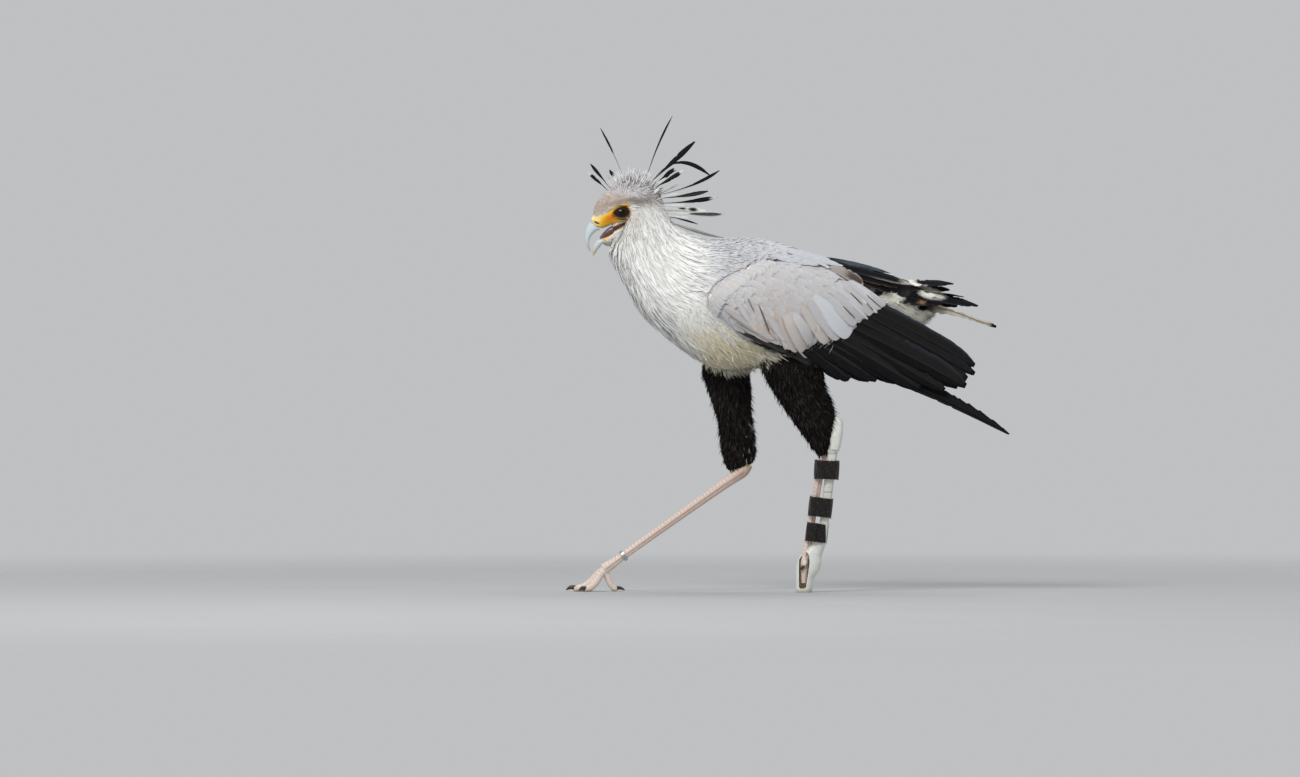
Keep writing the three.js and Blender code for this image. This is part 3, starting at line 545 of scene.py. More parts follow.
def markings(p, bare=True):
    """Colour of the bird's surface at points p, the same on both sides. The coat leaves out the bare skin's colours."""
    u, v, y = U_of(p[:, 0]), V_of(p[:, 2]), np.abs(p[:, 1]) * 1000
    streak = wobble(p * [1, 1.6, 0.5], 160, 1.0)
    soft = wobble(p, 38, 4.0)
    c = np.tile(WHITE, (len(p), 1))
    c = blend_to(c, srgb(214, 214, 211), 0.25 + 0.3 * streak + 0.15 * soft)
    c = blend_to(c, FOREHEAD, inside(u, v, [(589, 217), (593, 206), (600, 196), (612, 191), (624, 194), (628, 201), (618, 205), (608, 212), (598, 217)], 4.5) * 0.95)
    c = blend_to(c, CROWN_GREY, inside(u, v, [(602, 198), (608, 186), (622, 172), (645, 168), (668, 190), (660, 198), (650, 197), (636, 198), (624, 197), (612, 196)], 5) * 0.85)
    c = blend_to(c, srgb(176, 156, 140), spot(u, v, 603, 209, 7, 4.5, 0.8, -32) * 0.35)
    c = blend_to(c, srgb(112, 98, 88), spot(u, v, 633, 199.6, 12, 3.0, 0.7, -12) * 0.78)
    c = blend_to(c, srgb(136, 130, 126), spot(u, v, 649, 195.5, 12, 4.2, 0.7, -18) * 0.6)
    c = blend_to(c, srgb(150, 132, 118), spot(u, v, 617, 203.2, 8, 1.9, 0.8, -14) * 0.65)
    c = blend_to(c, srgb(222, 221, 216), spot(u, v, 644, 222, 14, 16, 0.5) * 0.4)
    c = blend_to(c, srgb(214, 196, 186), spot(u, v, 635.5, 212.5, 4.2, 8.5, 0.6) * 0.55)
    # painted shade: the front of the throat and breast a little greyer
    c = blend_to(c, srgb(204, 206, 203), inside(u, v, [(604, 240), (620, 244), (650, 300), (690, 345), (660, 345), (622, 290)], 8) * 0.4)
    # back, wings and shoulders are grey, the belly is cream
    c = blend_to(c, BACK_GREY, inside(u, v, [(690, 228), (712, 228), (760, 226), (860, 256), (930, 270), (930, 300), (880, 316), (840, 345), (770, 350), (735, 322), (712, 296), (700, 262)], 16))
    c = blend_to(c, srgb(206, 207, 208), inside(u, v, [(700, 262), (735, 262), (712, 300), (705, 330), (694, 320), (690, 285)], 9) * 0.5)
    c = blend_to(c, CREAM, inside(u, v, [(676, 326), (700, 322), (712, 318), (735, 334), (780, 352), (850, 330), (930, 300), (950, 330), (860, 372), (760, 382), (700, 366)], 10) * 0.9)
    c = blend_to(c, srgb(216, 203, 158), spot(u, v, 728, 350, 30, 13, 0.7) * 0.5)
    c = blend_to(c, srgb(236, 232, 222), inside(u, v, [(862, 300), (900, 306), (936, 296), (944, 318), (905, 330), (868, 330)], 5) * 0.7)
    # the black rump, and the white tuft under it
    c = blend_to(c, srgb(30, 26, 26), inside(u, v, [(848, 250), (915, 262), (914, 288), (900, 290), (888, 293), (881, 303), (868, 296), (858, 288), (850, 276)], 3) * 0.93 * smooth(60, 50, y))
    c = blend_to(c, srgb(238, 234, 220), spot(u, v, 893, 298, 11, 6.5, 0.35) * 0.9)
    # black thighs and the black round them
    low = np.where(u < 757, smooth(362, 373, v + 2.5 * wobble(p, 120, 2.0)), smooth(350, 361, v + 3 * wobble(p, 120, 2.0)))
    c = blend_to(c, THIGH_BLACK, low * ((u > 696) & (u < 850)))
    if bare:
        face = inside(u, v, FACE, 0.8)
        f = np.tile(YELLOW, (len(p), 1))
        # painted highlight: a paler yellow strip along the top edge of the bare face
        f = blend_to(f, srgb(246, 206, 78), spot(u, v, 604, 216.5, 9, 2.2, 0.7, -22) * 0.8)
        f = blend_to(f, PALE_YELLOW, smooth(602.5, 597.5, u) * 0.75)
        f = blend_to(f, srgb(250, 236, 190), smooth(594.5, 590.5, u + 0.4 * (v - 222)) * 0.7)
        f = blend_to(f, ORANGE, spot(u, v, 611.5, 217.6, 7.5, 3.9, 0.6, -18))
        f = blend_to(f, srgb(226, 120, 14), spot(u, v, 613.5, 217.2, 3.8, 2.0, 0.7, -20) * 0.8)
        f = blend_to(f, srgb(240, 170, 40), spot(u, v, 621, 219.6, 9, 1.5, 0.6, 2) * 0.8)
        f = blend_to(f, srgb(238, 162, 44), spot(u, v, 629.5, 206.6, 3.6, 2.6, 0.6, 40) * 0.8)
        f = blend_to(f, srgb(246, 214, 120), spot(u, v, 620, 205.6, 8.5, 1.1, 0.6, -8) * 0.8)
        f = blend_to(f, srgb(226, 196, 176), spot(u, v, 629.8, 219.2, 6.5, 1.9, 0.6, -28) * 0.8)
        # painted shade: the nostril's opening dark
        f = blend_to(f, srgb(58, 22, 14), spot(u, v, 596.8, 223.0, 3.1, 0.95, 0.35, 24) * 0.95)
        c = c * (1 - face[:, None]) + f * face[:, None]
        c = blend_to(c, srgb(222, 190, 176), spot(u, v, 622, 221.2, 8, 0.9, 0.6, -10) * 0.5)
        c = blend_to(c, srgb(246, 204, 66), inside(u, v, GAPE_LINE, 0.45))
        c = blend_to(c, srgb(232, 210, 200), inside(u, v, [(631, 219), (634, 221), (631, 227), (622, 234), (612, 240), (606, 243), (600, 244.6), (601, 241), (612, 234.5), (622, 228.6), (629, 223.4)], 1.2) * 0.75)
        c = blend_to(c, srgb(240, 196, 62), inside(u, v, JAW_RIM, 0.5))
        # inside of the open gape: dark red, its flesh colour darkened by painted shade
        mouth = inside(u, v, [(627.5, 222.4), (620, 223.8), (612, 227), (604, 231), (604, 238), (612, 232.6), (620, 228.2), (627.5, 223.9)], 0.6) * (y < 9.8)
        c = blend_to(c, MOUTH, mouth)
    return np.clip(c * (1 + 0.02 * soft[:, None]), 0, 1)


# ---------------------------------------------------------------- skin under the coat
def coat_depth(t):
    """How far the skin of the body lies inside its outline, along the body."""
    return np.interp(t, [0, 0.1, 0.16, 0.24, 0.3, 0.36, 0.5, 0.75, 0.9, 1.0], [0.0002, 0.0003, 0.0011, 0.0016, 0.0035, 0.005, 0.0062, 0.0065, 0.005, 0.002])


def skin_rings(loft, nt, nq, depth):
    t, q = np.meshgrid(np.linspace(0, 1, nt), np.arange(nq) / nq * 2 * np.pi, indexing="ij")
    d = depth(t) if callable(depth) else np.full(t.shape, depth)
    s = catmull(loft.rows, t)
    r = loft(t, q)
    mid = r.mean(1, keepdims=True)
    out = unit(r - mid)
    r = r - out * np.minimum(d, np.linalg.norm(r - mid, axis=-1) * 0.6)[..., None]
    return r if not loft.mirror else r[:, ::-1]


def tube(points, radii, nq=16, wide=1.0, side=None):
    """Rings round a path: points n x 3, radii n or n x 2."""
    p = np.asarray(points, float)
    d = unit(np.gradient(p, axis=0))
    s = np.array([0.0, 1.0, 0.0]) if side is None else np.asarray(side, float)
    n1 = unit(s - d * (d @ s)[:, None])
    n2 = np.cross(d, n1)
    r = np.asarray(radii, float)
    r = np.stack([r * wide, r], -1) if r.ndim == 1 else r
    q = np.arange(nq) / nq * 2 * np.pi
    return p[:, None] + n1[:, None] * (r[:, None, :1] * np.cos(q)[None, :, None]) + n2[:, None] * (r[:, None, 1:] * np.sin(q)[None, :, None])


parts = [
    capped(skin_rings(body, 180, 72, coat_depth)),
    capped(skin_rings(jaw, 30, 40, 0.0008)),
    capped(skin_rings(throat, 20, 32, 0.0004)),
    capped(skin_rings(wing_l, 60, 48, 0.0042)),
    capped(skin_rings(wing_r, 60, 48, 0.0042)),
    capped(skin_rings(thigh_l, 60, 40, 0.0055)),
    capped(skin_rings(thigh_r, 60, 40, 0.0055)),
]
skin = joined("skin", parts)


def fix_winding(o):
    """Turn every closed shell of a mesh to face out."""
    bm = bmesh.new()
    bm.from_mesh(o.data)
    bmesh.ops.recalc_face_normals(bm, faces=bm.faces)
    bm.to_mesh(o.data)
    bm.free()


fix_winding(skin)
remesh(skin, 0.0016, 3)
print("skin remeshed", len(skin.data.polygons))
# fewer faces where the coat hides the skin
g = skin.vertex_groups.new(name="body")
co = coords(skin)
w = smooth(640, 675, U_of(co[:, 0]))
for lo_, hi_ in ((0.5, 2.0),):
    idx = np.nonzero(w > lo_)[0]
    g.add(idx.tolist(), 1.0, "REPLACE")
dec = skin.modifiers.new("d", "DECIMATE")
dec.ratio, dec.vertex_group = 0.22, "body"
apply_all(skin)
bm = bmesh.new()
bm.from_mesh(skin.data)
bmesh.ops.triangulate(bm, faces=bm.faces)
edges = [e for e in bm.edges if all(U_of(x.co.x) < 641 and V_of(x.co.z) < 252 for x in e.verts)]
bmesh.ops.subdivide_edges(bm, edges=edges, cuts=1, use_grid_fill=True)
bmesh.ops.triangulate(bm, faces=bm.faces)
for f_ in bm.faces:
    f_.smooth = True
bm.to_mesh(skin.data)
bm.free()
skin.vertex_groups.clear()
print("skin faces", len(skin.data.polygons))

EYE_Y, EYE_R = 0.015, 0.014
EYE_WIDE, EYE_TALL = 1.20, 0.95  # the eyeball is a little longer than high, as the opening is
eye_at = at(*EYE_UV, 0)
# opening between the lids in the side view, from the front corner over the top
LIDS = [(613.5, 213.9), (615.0, 210.8), (618.0, 208.3), (621.8, 207.0), (625.6, 207.2), (628.4, 209.2), (629.7, 212.2),
        (629.0, 215.2), (626.4, 217.4), (622.6, 218.3), (618.4, 217.8), (615.2, 216.2)]


def head_relief(p, n):
    """Height of the folds of the face above the plain skin, in metres."""
    u, v, y = U_of(p[:, 0]), V_of(p[:, 2]), np.abs(p[:, 1]) * 1000
    h = np.zeros(len(p))
    side = smooth(6, 14, y)
    h += 0.0024 * spot(u, v, 622, 203.0, 13, 2.6, 0.7, 0) * side  # brow
    h += 0.0010 * spot(u, v, 612.5, 207.2, 5.5, 2.0, 0.7, -32) * side
    h -= 0.0068 * inside(u, v + 0.55, LIDS, 0.9) * side  # the eye's opening
    h -= 0.0008 * (spot(u, v, 621.5, 213.4, 13, 9.2, 0.3) - spot(u, v, 621.5, 213.4, 9.5, 6.8, 0.3)).clip(0, 1) * side
    h += 0.0008 * spot(u, v, 621, 220.6, 10, 1.0, 0.7, -7) * side  # edge over the gape
    h += 0.0006 * spot(u, v, 606, 218, 6, 3.2, 0.8, -20) * side
    h -= 0.0019 * spot(u, v, 596.8, 223.0, 2.8, 0.8, 0.5, 24) * smooth(3, 7, y)  # nostril
    h += 0.0007 * spot(u, v, 596.2, 220.4, 4.5, 1.3, 0.7, 24)
    h += 0.0009 * inside(u, v, JAW_RIM, 0.7) * smooth(5, 9, y)
    face = inside(u, v, FACE, 1.4)
    wr = np.sin((v - 214 + 0.35 * (u - 612)) * 2.4 + 1.4 * wobble(p, 260, 2)) * 0.5 + 0.5 * wobble(p, 620, 5)
    h += 0.00024 * wr * face * side
    return h


co, no = coords(skin), vertex_normals(skin)
set_coords(skin, co + no * head_relief(co, no)[:, None])
co, no = coords(skin), vertex_normals(skin)
set_colours(skin, markings(co))
skin.data.materials.append(M_SKIN)
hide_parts("head", "neck", "trunk", "rump", "thigh_left", "thigh_right", "wing_left", "wing_right")
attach(skin, "root")
SKIN_TREE = None
bm = bmesh.new()
bm.from_mesh(skin.data)
SKIN_TREE = BVHTree.FromBMesh(bm)
bm.free()


def over_skin(x, z, side):
    """How far out the skin lies at a side-view place, or None past its edge."""
    hit = SKIN_TREE.ray_cast(Vector((float(x), side * 0.3, float(z))), Vector((0, -side, 0)))[0]
    return None if hit is None or hit.y * side < 0.045 else hit.y * side


def on_skin(p):
    """Nearest skin places and normals for many points."""
    q, n = np.empty_like(p), np.empty_like(p)
    find = SKIN_TREE.find_nearest
    for i, a in enumerate(p):
        loc, nor, _, _ = find(a)
        q[i], n[i] = loc, nor
    return q, n


# ---------------------------------------------------------------- eyes, lids and lashes
def eye_material():
    mat = bpy.data.materials.new("eye_glass")
    nt, bsdf, out = nodes_of(mat)
    tc = node(nt, "ShaderNodeTexCoord")
    sep = node(nt, "ShaderNodeSeparateXYZ")
    nt.links.new(tc.outputs["Object"], sep.inputs[0])
    # distance from the eye's own axis, which points to the side
    sub = []
    for axis, centre in ((0, eye_at[0] - 0.0006), (2, eye_at[2])):
        m = node(nt, "ShaderNodeMath", operation="SUBTRACT")
        nt.links.new(sep.outputs[axis], m.inputs[0])
        m.inputs[1].default_value = centre
        pw = node(nt, "ShaderNodeMath", operation="POWER")
        nt.links.new(m.outputs[0], pw.inputs[0])
        pw.inputs[1].default_value = 2.0
        sub.append(pw)
    add = node(nt, "ShaderNodeMath", operation="ADD")
    nt.links.new(sub[0].outputs[0], add.inputs[0])
    nt.links.new(sub[1].outputs[0], add.inputs[1])
    rt = node(nt, "ShaderNodeMath", operation="SQRT")
    nt.links.new(add.outputs[0], rt.inputs[0])
    mr = node(nt, "ShaderNodeMapRange")
    mr.inputs["From Min"].default_value, mr.inputs["From Max"].default_value = 0.0, 0.014
    nt.links.new(rt.outputs[0], mr.inputs["Value"])
    nz = node(nt, "ShaderNodeTexNoise", Scale=700.0, Detail=3.0)
    nt.links.new(tc.outputs["Object"], nz.inputs["Vector"])
    r = ramp(nt, [(0.0, (0.003, 0.003, 0.004)), (0.42, (0.003, 0.003, 0.004)), (0.47, (0.022, 0.009, 0.005)), (0.66, (0.036, 0.014, 0.007)), (0.80, (0.010, 0.005, 0.004)), (1.0, (0.012, 0.007, 0.006))])
    nt.links.new(mr.outputs[0], r.inputs[0])
    mx = node(nt, "ShaderNodeMix", data_type="RGBA", blend_type="MULTIPLY")
    mx.inputs[0].default_value = 0.6
    nt.links.new(r.outputs[0], mx.inputs[6])
    nt.links.new(nz.outputs["Color"], mx.inputs[7])
    nt.links.new(mx.outputs[2], bsdf.inputs["Base Color"])
    bsdf.inputs["Roughness"].default_value = 0.06
    bsdf.inputs["Specular IOR Level"].default_value = 0.16
    bsdf.inputs["Coat Weight"].default_value = 0.12
    bsdf.inputs["Coat Roughness"].default_value = 0.02
    return mat


def ball(centre, r, nt=48, nq=64, wide=1.0, tall=1.0):
    """A sphere with its pole on the axis that looks to the side."""
    th = np.linspace(0.02, math.pi - 0.02, nt)
    q = np.arange(nq) / nq * 2 * np.pi
    v = np.zeros((nt, nq, 3))
    v[..., 1] = np.cos(th)[:, None] * r
    v[..., 0] = np.sin(th)[:, None] * np.cos(q) * r * wide
    v[..., 2] = np.sin(th)[:, None] * np.sin(q) * r * tall
    return capped(v + np.asarray(centre))


M_EYE = eye_material()
M_LID = attribute_material("eyelid_skin", 0.45, 0.4, bump=(1500, 0.00015), speck=0.08, sub=0.05)
M_LASH = attribute_material("lash", 0.5, 0.3, speck=0.1)

def closed_curve(points, n):
    p = np.asarray(points, float)
    m = len(p)
    t = np.arange(n) / n * m
    i = np.floor(t).astype(int)
    f = (t - i)[:, None]
    a, b, c, d = p[(i - 1) % m], p[i % m], p[(i + 1) % m], p[(i + 2) % m]
    return 0.5 * (2 * b + (c - a) * f + (2 * a - 5 * b + 4 * c - d) * f**2 + (3 * b - a - 3 * c + d) * f**3)


for side, name in ((-1, "left"), (1, "right")):
    centre = np.array([eye_at[0], side * EYE_Y, eye_at[2]])
    v, q, t = ball(centre, EYE_R, wide=EYE_WIDE, tall=EYE_TALL)
    eye = build("eyeball_" + name, v, q, t, mat=M_EYE)
    fix_winding(eye)
    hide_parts("eye_" + name)
    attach(eye, "root")
    # each lid is a rolled rim lying on the eyeball, with its outer edge under the skin
    rim = closed_curve(LIDS, 96)
    mid = rim.mean(0)
    ring = []
    for grow, lift in ((0.90, 0.0006), (0.965, 0.0011), (1.03, 0.00125), (1.12, 0.0012), (1.24, 0.0008), (1.42, 0.0), (1.60, -0.0012)):
        uv = mid + (rim - mid) * grow
        x, z = X(uv[:, 0]), Z(uv[:, 1])
        dx, dz = x - centre[0], z - centre[2]
        depth = np.sqrt(np.maximum((EYE_R + lift) ** 2 - (dx / EYE_WIDE) ** 2 - (dz / EYE_TALL) ** 2, 1e-8))
        p = np.stack([x, side * (EYE_Y + depth), z], -1)
        if grow > 1.1:
            s, sn = on_skin(p)
            k = min(1.0, (grow - 1.1) / 0.32)
            p = p * (1 - k) + (s + sn * 0.0003 * (1 - k) - sn * 0.0008 * max(0, grow - 1.42)) * k
        ring.append(p)
    ring = np.array(ring)
    back = ring[0] + (centre - ring[0]) * 0.08
    under = ring[-1] + (centre - ring[-1]) * 0.10
    loopv = np.concatenate([ring, under[None], back[None]])
    nv, nq = loopv.shape[:2]
    quads = []
    for i in range(nv):
        a = i * nq + np.arange(nq)
        b = i * nq + (np.arange(nq) + 1) % nq
        c = ((i + 1) % nv) * nq
        quads.append(np.stack([a, b, c + (np.arange(nq) + 1) % nq, c + np.arange(nq)], -1))
    v = loopv.reshape(-1, 3)
    level = np.repeat(np.arange(nv), nq)
    col = markings(v)
    dark = np.where(np.isin(level, [0, nv - 1]), 1.0, np.where(level == 1, 0.97, np.where(level == 2, 0.72, np.where(level == 3, 0.12, 0.0))))
    col = blend_to(col, srgb(34, 19, 14), dark)
    lid = build("lids_" + name, v, np.concatenate(quads), colours=col, mat=M_LID)
    fix_winding(lid)
    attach(lid, "root")
    # lashes, like stiff little bristles, longest over the eye
    strands = []
    count = 46
    base = closed_curve(LIDS, 480)
    for k in range(count):
        i = int((0.02 + 0.50 * k / count) * 480) if k < 34 else int((0.55 + 0.42 * (k - 34) / 12) * 480)
        b = mid + (base[i % 480] - mid) * 1.02
        out = unit((base[i % 480] - mid) * [1.0, 1.0])
        long_ = (5.2 + 1.6 * math.sin(k * 1.7)) if k < 34 else 2.0
        x0, z0 = float(X(b[0])), float(Z(b[1]))
        dep = math.sqrt(max((EYE_R + 0.0011) ** 2 - ((x0 - centre[0]) / EYE_WIDE) ** 2 - ((z0 - centre[2]) / EYE_TALL) ** 2, 1e-8))
        p0 = np.array([x0, side * (EYE_Y + dep), z0])
        o3 = np.array([out[0], 0, -out[1]])
        pts = []
        for s in np.linspace(0, 1, 5):
            h = long_ / 1000 * s
            pts.append(p0 + o3 * h * 0.75 + np.array([0.12 * h, side * (0.75 * h - 9 * h * h * 10), 0.15 * h]))
        strands.append(capped(tube(pts, np.array([0.22, 0.2, 0.16, 0.11, 0.04]) / 1000, 6)))
    lash = joined("lashes_" + name, strands, colours=None, mat=M_LASH)
    set_colours(lash, np.tile(srgb(22, 18, 17), (len(lash.data.vertices), 1)))
    fix_winding(lash)
    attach(lash, "root")


# ---------------------------------------------------------------- bill and tongue
def horn_colours(p, base, tip, dark_from, dark_to, edge=None):
    u, v = U_of(p[:, 0]), V_of(p[:, 2])
    c = np.tile(base, (len(p), 1))
    c = blend_to(c, srgb(206, 214, 217), (0.5 + 0.5 * wobble(p * [1, 1, 0.35], 420, 3)) * 0.5)
    c = blend_to(c, srgb(163, 174, 178), smooth(0.1, 0.9, wobble(p * [0.4, 1, 1.5], 700, 7)) * 0.35)
    c = blend_to(c, tip, smooth(dark_from, dark_to, v))
    return c


v, q, t = capped(Loft(UPPER_BILL).rings(70, 48, grow=0.0002))
u_, v_ = U_of(v[:, 0]), V_of(v[:, 2])
# a keel along the top and growth lines round the horn
dist = v_ - 222
lines = 0.00012 * np.sin(v_ * 2.1 + 0.5 * np.sin(u_)) + 0.00008 * wobble(v, 900, 2)
cen = np.array([float(X(596)), 0, float(Z(240))])
v = v + unit(v - cen) * lines[:, None]
upper = build("upper_bill", v, q, t, colours=horn_colours(v, srgb(196, 208, 213), srgb(186, 176, 150), 240, 250.5), mat=M_HORN)
v, q, t = capped(Loft(LOWER_BILL).rings(60, 48, grow=0.0002))
v = v + unit(v - cen) * (0.00008 * wobble(v, 900, 5))[:, None]
lower = build("lower_bill", v, q, t, colours=horn_colours(v, srgb(200, 208, 208), srgb(190, 180, 152), 246, 255), mat=M_HORN)
v, q, t = capped(Loft(TONGUE).rings(50, 40, grow=0.0001))
tc = blend_to(np.tile(srgb(112, 72, 88), (len(v), 1)), srgb(74, 40, 56), 0.5 + 0.5 * wobble(v, 330, 3))
tongue = build("tongue_flesh", v, q, t, colours=blend_to(tc, srgb(150, 100, 112), smooth(605, 600, U_of(v[:, 0])) * 0.5), mat=M_TONGUE)
for piece, names, slot in ((upper, "bill_upper", "horn"), (lower, "bill_lower", "horn"), (tongue, "tongue", "tongue")):
    fix_winding(piece)
    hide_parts(names)
    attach(piece, "root")


# ---------------------------------------------------------------- legs and feet
def limb(rows, steps=8, nq=24, wide=1.0):
    r = np.array([[*p, s / 1000] for p, s in rows], float)
    t = np.linspace(0, 1, (len(rows) - 1) * steps + 1)
    c = catmull(r, t)
    return tube(c[:, :3], c[:, 3], nq, wide)


HIP_Y, SPLINT_Y, RIGHT_FOOT_Y = 47, -13, 38
hock_r, foot_r = at(743.5, 471, HIP_Y - 1), at(604, 570, RIGHT_FOOT_Y)
hock_l, foot_l = at(825, 441, -33), at(805, 559, SPLINT_Y)
mixp = lambda a, b, t: a + (b - a) * t
tarsus_r = limb([(at(748.8, 464.0, HIP_Y - 1), 9.2)] + [(mixp(hock_r, foot_r, t), r) for t, r in
                ((0, 11.4), (0.06, 11), (0.16, 9.4), (0.5, 7.8), (0.85, 7.4), (0.95, 9.2), (1, 10.6))], 14, 32)
tarsus_l = limb([(mixp(hock_l, foot_l, t), r) for t, r in
                 ((-0.04, 7.4), (0.04, 8.4), (0.12, 7.6), (0.45, 6.9), (0.8, 6.8), (0.93, 7.6), (1, 6.6))], 14, 32)
TOES = {"inner": (-38, 46, 6.6, 14), "middle": (-2, 56, 7.2, 15), "outer": (33, 45, 6.4, 13), "hind": (172, 24, 6.0, 15)}
fz = foot_r[2] * 1000


def toe_point(turn, d, z):
    a = math.radians(turn)
    return np.array([foot_r[0] - math.cos(a) * d / 1000, foot_r[1] + math.sin(a) * d / 1000, z / 1000])


def toe_rows(turn, length, r):
    p = lambda d, z: toe_point(turn, d, z)
    return [(p(0, fz - 2), r * 1.15), (p(0.2 * length, fz * 0.76), r * 1.08), (p(0.42 * length, fz * 0.44), r * 1.04),
            (p(0.64 * length, fz * 0.18 + 2), r * 0.98), (p(0.84 * length, r * 0.78), r * 0.94), (p(length, r * 0.64), r * 0.72)]


leg_r = joined("leg_right", [capped(tarsus_r)] + [capped(limb(toe_rows(a, l, r), 10, 24)) for a, l, r, _ in TOES.values()])
fix_winding(leg_r)
remesh(leg_r, 0.0012, 2)
toes_l = [
    capped(limb([(at(806.5, 555, SPLINT_Y), 6.2), (at(804.8, 562, SPLINT_Y - 1), 7.8), (at(804.2, 570, SPLINT_Y - 1), 7.4), (at(803.6, 583, SPLINT_Y), 6.0)], 10, 24)),
    capped(limb([(at(805, 559, SPLINT_Y - 5), 4.9), (at(804.8, 562.5, SPLINT_Y - 9), 5.3), (at(803, 565.6, SPLINT_Y - 10.5), 4.1)], 10, 20)),
]
leg_l = joined("leg_left", [capped(tarsus_l)] + toes_l)
fix_winding(leg_l)
remesh(leg_l, 0.0012, 2)


def leg_relief(p, n, top, end, toes):
    """Plates over the front of a tarsus and the top of the toes, small scales behind."""
    ax = unit(end - top)
    long_ = np.linalg.norm(end - top)
    s = (p - top) @ ax
    front = unit(np.cross(np.array([0, 1.0, 0]), ax))
    front = front if front[0] < 0 else -front
    r = p - top - s[:, None] * ax
    rn = unit(r)
    f, sd = rn @ front, np.abs(rn[:, 1])
    on_leg = smooth(-0.004, 0.004, s) * smooth(long_ + 0.004, long_ - 0.008, s)
    phase = (s * 1000 / 7.4 + 0.25 * f) % 1.0
    plate = smooth(0, 0.16, phase) * smooth(1.0, 0.93, phase)
    mask = smooth(0.05, 0.45, f) * on_leg
    h = 0.00042 * (plate - 0.5) * mask
    h -= 0.00095 * np.exp(-((f + 0.22) / 0.16) ** 2) * on_leg * smooth(0.02, 0.05, s)
    rear = smooth(-0.25, -0.6, f) * on_leg
    h += 0.0002 * np.sin(s * 1000 * 1.9) * np.sin(sd * 9) * rear
    groove = np.clip(mask * (1 - plate) + np.exp(-((f + 0.22) / 0.16) ** 2) * on_leg, 0, 1)
    if toes:
        rel = p - foot_r
        for a, l, rr, _ in TOES.values():
            d = np.array([-math.cos(math.radians(a)), math.sin(math.radians(a)), 0])
            along = rel @ d
            off = np.linalg.norm(rel[:, :2] - along[:, None] * d[None, :2], axis=1)
            m = smooth(0.011, 0.005, off) * smooth(0.005, 0.010, along) * smooth(0.0, 0.5, n[:, 2])
            ph = (along * 1000 / 4.2) % 1.0
            pl = smooth(0, 0.2, ph) * smooth(1, 0.9, ph)
            h += 0.00034 * (pl - 0.5) * m
            groove = np.clip(groove + m * (1 - pl), 0, 1)
    h *= smooth(0.0004, 0.0025, p[:, 2])
    return h, groove, np.clip(s / long_, -0.2, 1.2)


for o, top, end, toes, names in ((leg_r, hock_r, foot_r, True, ("tarsus_right", "foot_right")), (leg_l, hock_l, foot_l, False, ("tarsus_left", "foot_left"))):
    co, no = coords(o), vertex_normals(o)
    h, groove, s = leg_relief(co, no, top, end, toes)
    set_coords(o, co + no * h[:, None])
    c = np.tile(srgb(224, 205, 194), (len(co), 1))
    c = blend_to(c, srgb(238, 226, 214), smooth(0.55, 0.95, s) * 0.7)
    c = blend_to(c, srgb(196, 170, 148), smooth(0.12, -0.03, s) * 0.8)
    c = blend_to(c, srgb(205, 172, 160), (0.5 + 0.5 * wobble(co, 240, 3)) * 0.35)
    c = blend_to(c, srgb(140, 104, 84), groove * 0.62)
    c = blend_to(c, srgb(128, 98, 78), smooth(0.25, 0.9, wobble(co, 520, 8)) * 0.25)
    c = blend_to(c, srgb(120, 96, 80), smooth(0.006, 0.0, co[:, 2]) * 0.5)
    set_colours(o, c)
    o.data.materials.clear()
    o.data.materials.append(M_LEG)
    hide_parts(*names)
    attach(o, "root")


def claw_rows(turn, length, r, long_):
    q = lambda d, z: toe_point(turn, length + d, z)
    return [(q(-5, r * 0.85), r * 0.55), (q(-1, r * 1.0), r * 0.62), (q(long_ * 0.35, r * 1.08), r * 0.52), (q(long_ * 0.72, r * 0.76), r * 0.34), (q(long_, r * 0.36), 0.5)]


def claw(name, rows, node_name):
    v, q, t = capped(limb(rows, 10, 24))
    c = np.tile(srgb(46, 40, 38), (len(v), 1))
    c = blend_to(c, srgb(96, 88, 82), (0.5 + 0.5 * wobble(v * [1, 1, 1], 380, 2)) * 0.5)
    o = build(name, v, q, t, colours=c, mat=M_CLAW)
    fix_winding(o)
    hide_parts(node_name)
    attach(o, "root")


for key, (a, l, r, cl) in TOES.items():
    claw("talon_" + key, claw_rows(a, l, r, cl), "claw_right_" + key)
claw("talon_left", [(at(803.4, 565.4, SPLINT_Y - 10.4), 2.6), (at(802.6, 566.8, SPLINT_Y - 10.9), 2.9), (at(801.4, 568.4, SPLINT_Y - 11), 2.3), (at(800.2, 570.2, SPLINT_Y - 11), 0.7)], "claw_left")


# ---------------------------------------------------------------- splint, straps and ring
BOOT = [
    [812.0, 539.0, 826.5, 541.0, -18, 12, 0.5], [809.5, 546.0, 824.0, 549.0, -16, 13.5, 0.5], [801.0, 554.5, 821.5, 556.5, -14, 16.5, 0.5],
    [796.8, 563.0, 821.4, 564.0, -13, 18.5, 0.5], [796.0, 571.0, 818.4, 572.0, -13, 18.5, 0.5], [795.8, 578.0, 814.0, 578.0, -13, 17.5, 0.5],
    [795.8, 585.0, 813.0, 585.0, -13, 17.0, 0.5], [796.0, 592.0, 811.5, 592.0, -13, 16.0, 0.5],
]
STRUT = [
    [827.5, 437.0, 838.6, 440.5, -33, 16.5, 0.5], [827.0, 452.0, 836.8, 455.0, -32.5, 13.0, 0.5], [824.0, 480.0, 833.6, 482.0, -28.0, 11.5, 0.5],
    [820.6, 512.0, 829.6, 514.0, -22.5, 11.0, 0.5], [817.0, 542.0, 826.0, 544.0, -17.5, 11.5, 0.5],
]
CUFF = [
    [834.2, 416.4, 839.8, 417.8, -36, 9.0, 0.5], [831.8, 421.0, 842.6, 423.5, -36, 17.0, 0.5], [829.6, 434.0, 842.0, 436.5, -35, 18.5, 0.5],
    [828.6, 446.0, 839.6, 448.5, -34, 17.5, 0.5], [828.4, 449.4, 837.4, 451.5, -33.5, 14.0, 0.5],
]
WALL = 0.0024


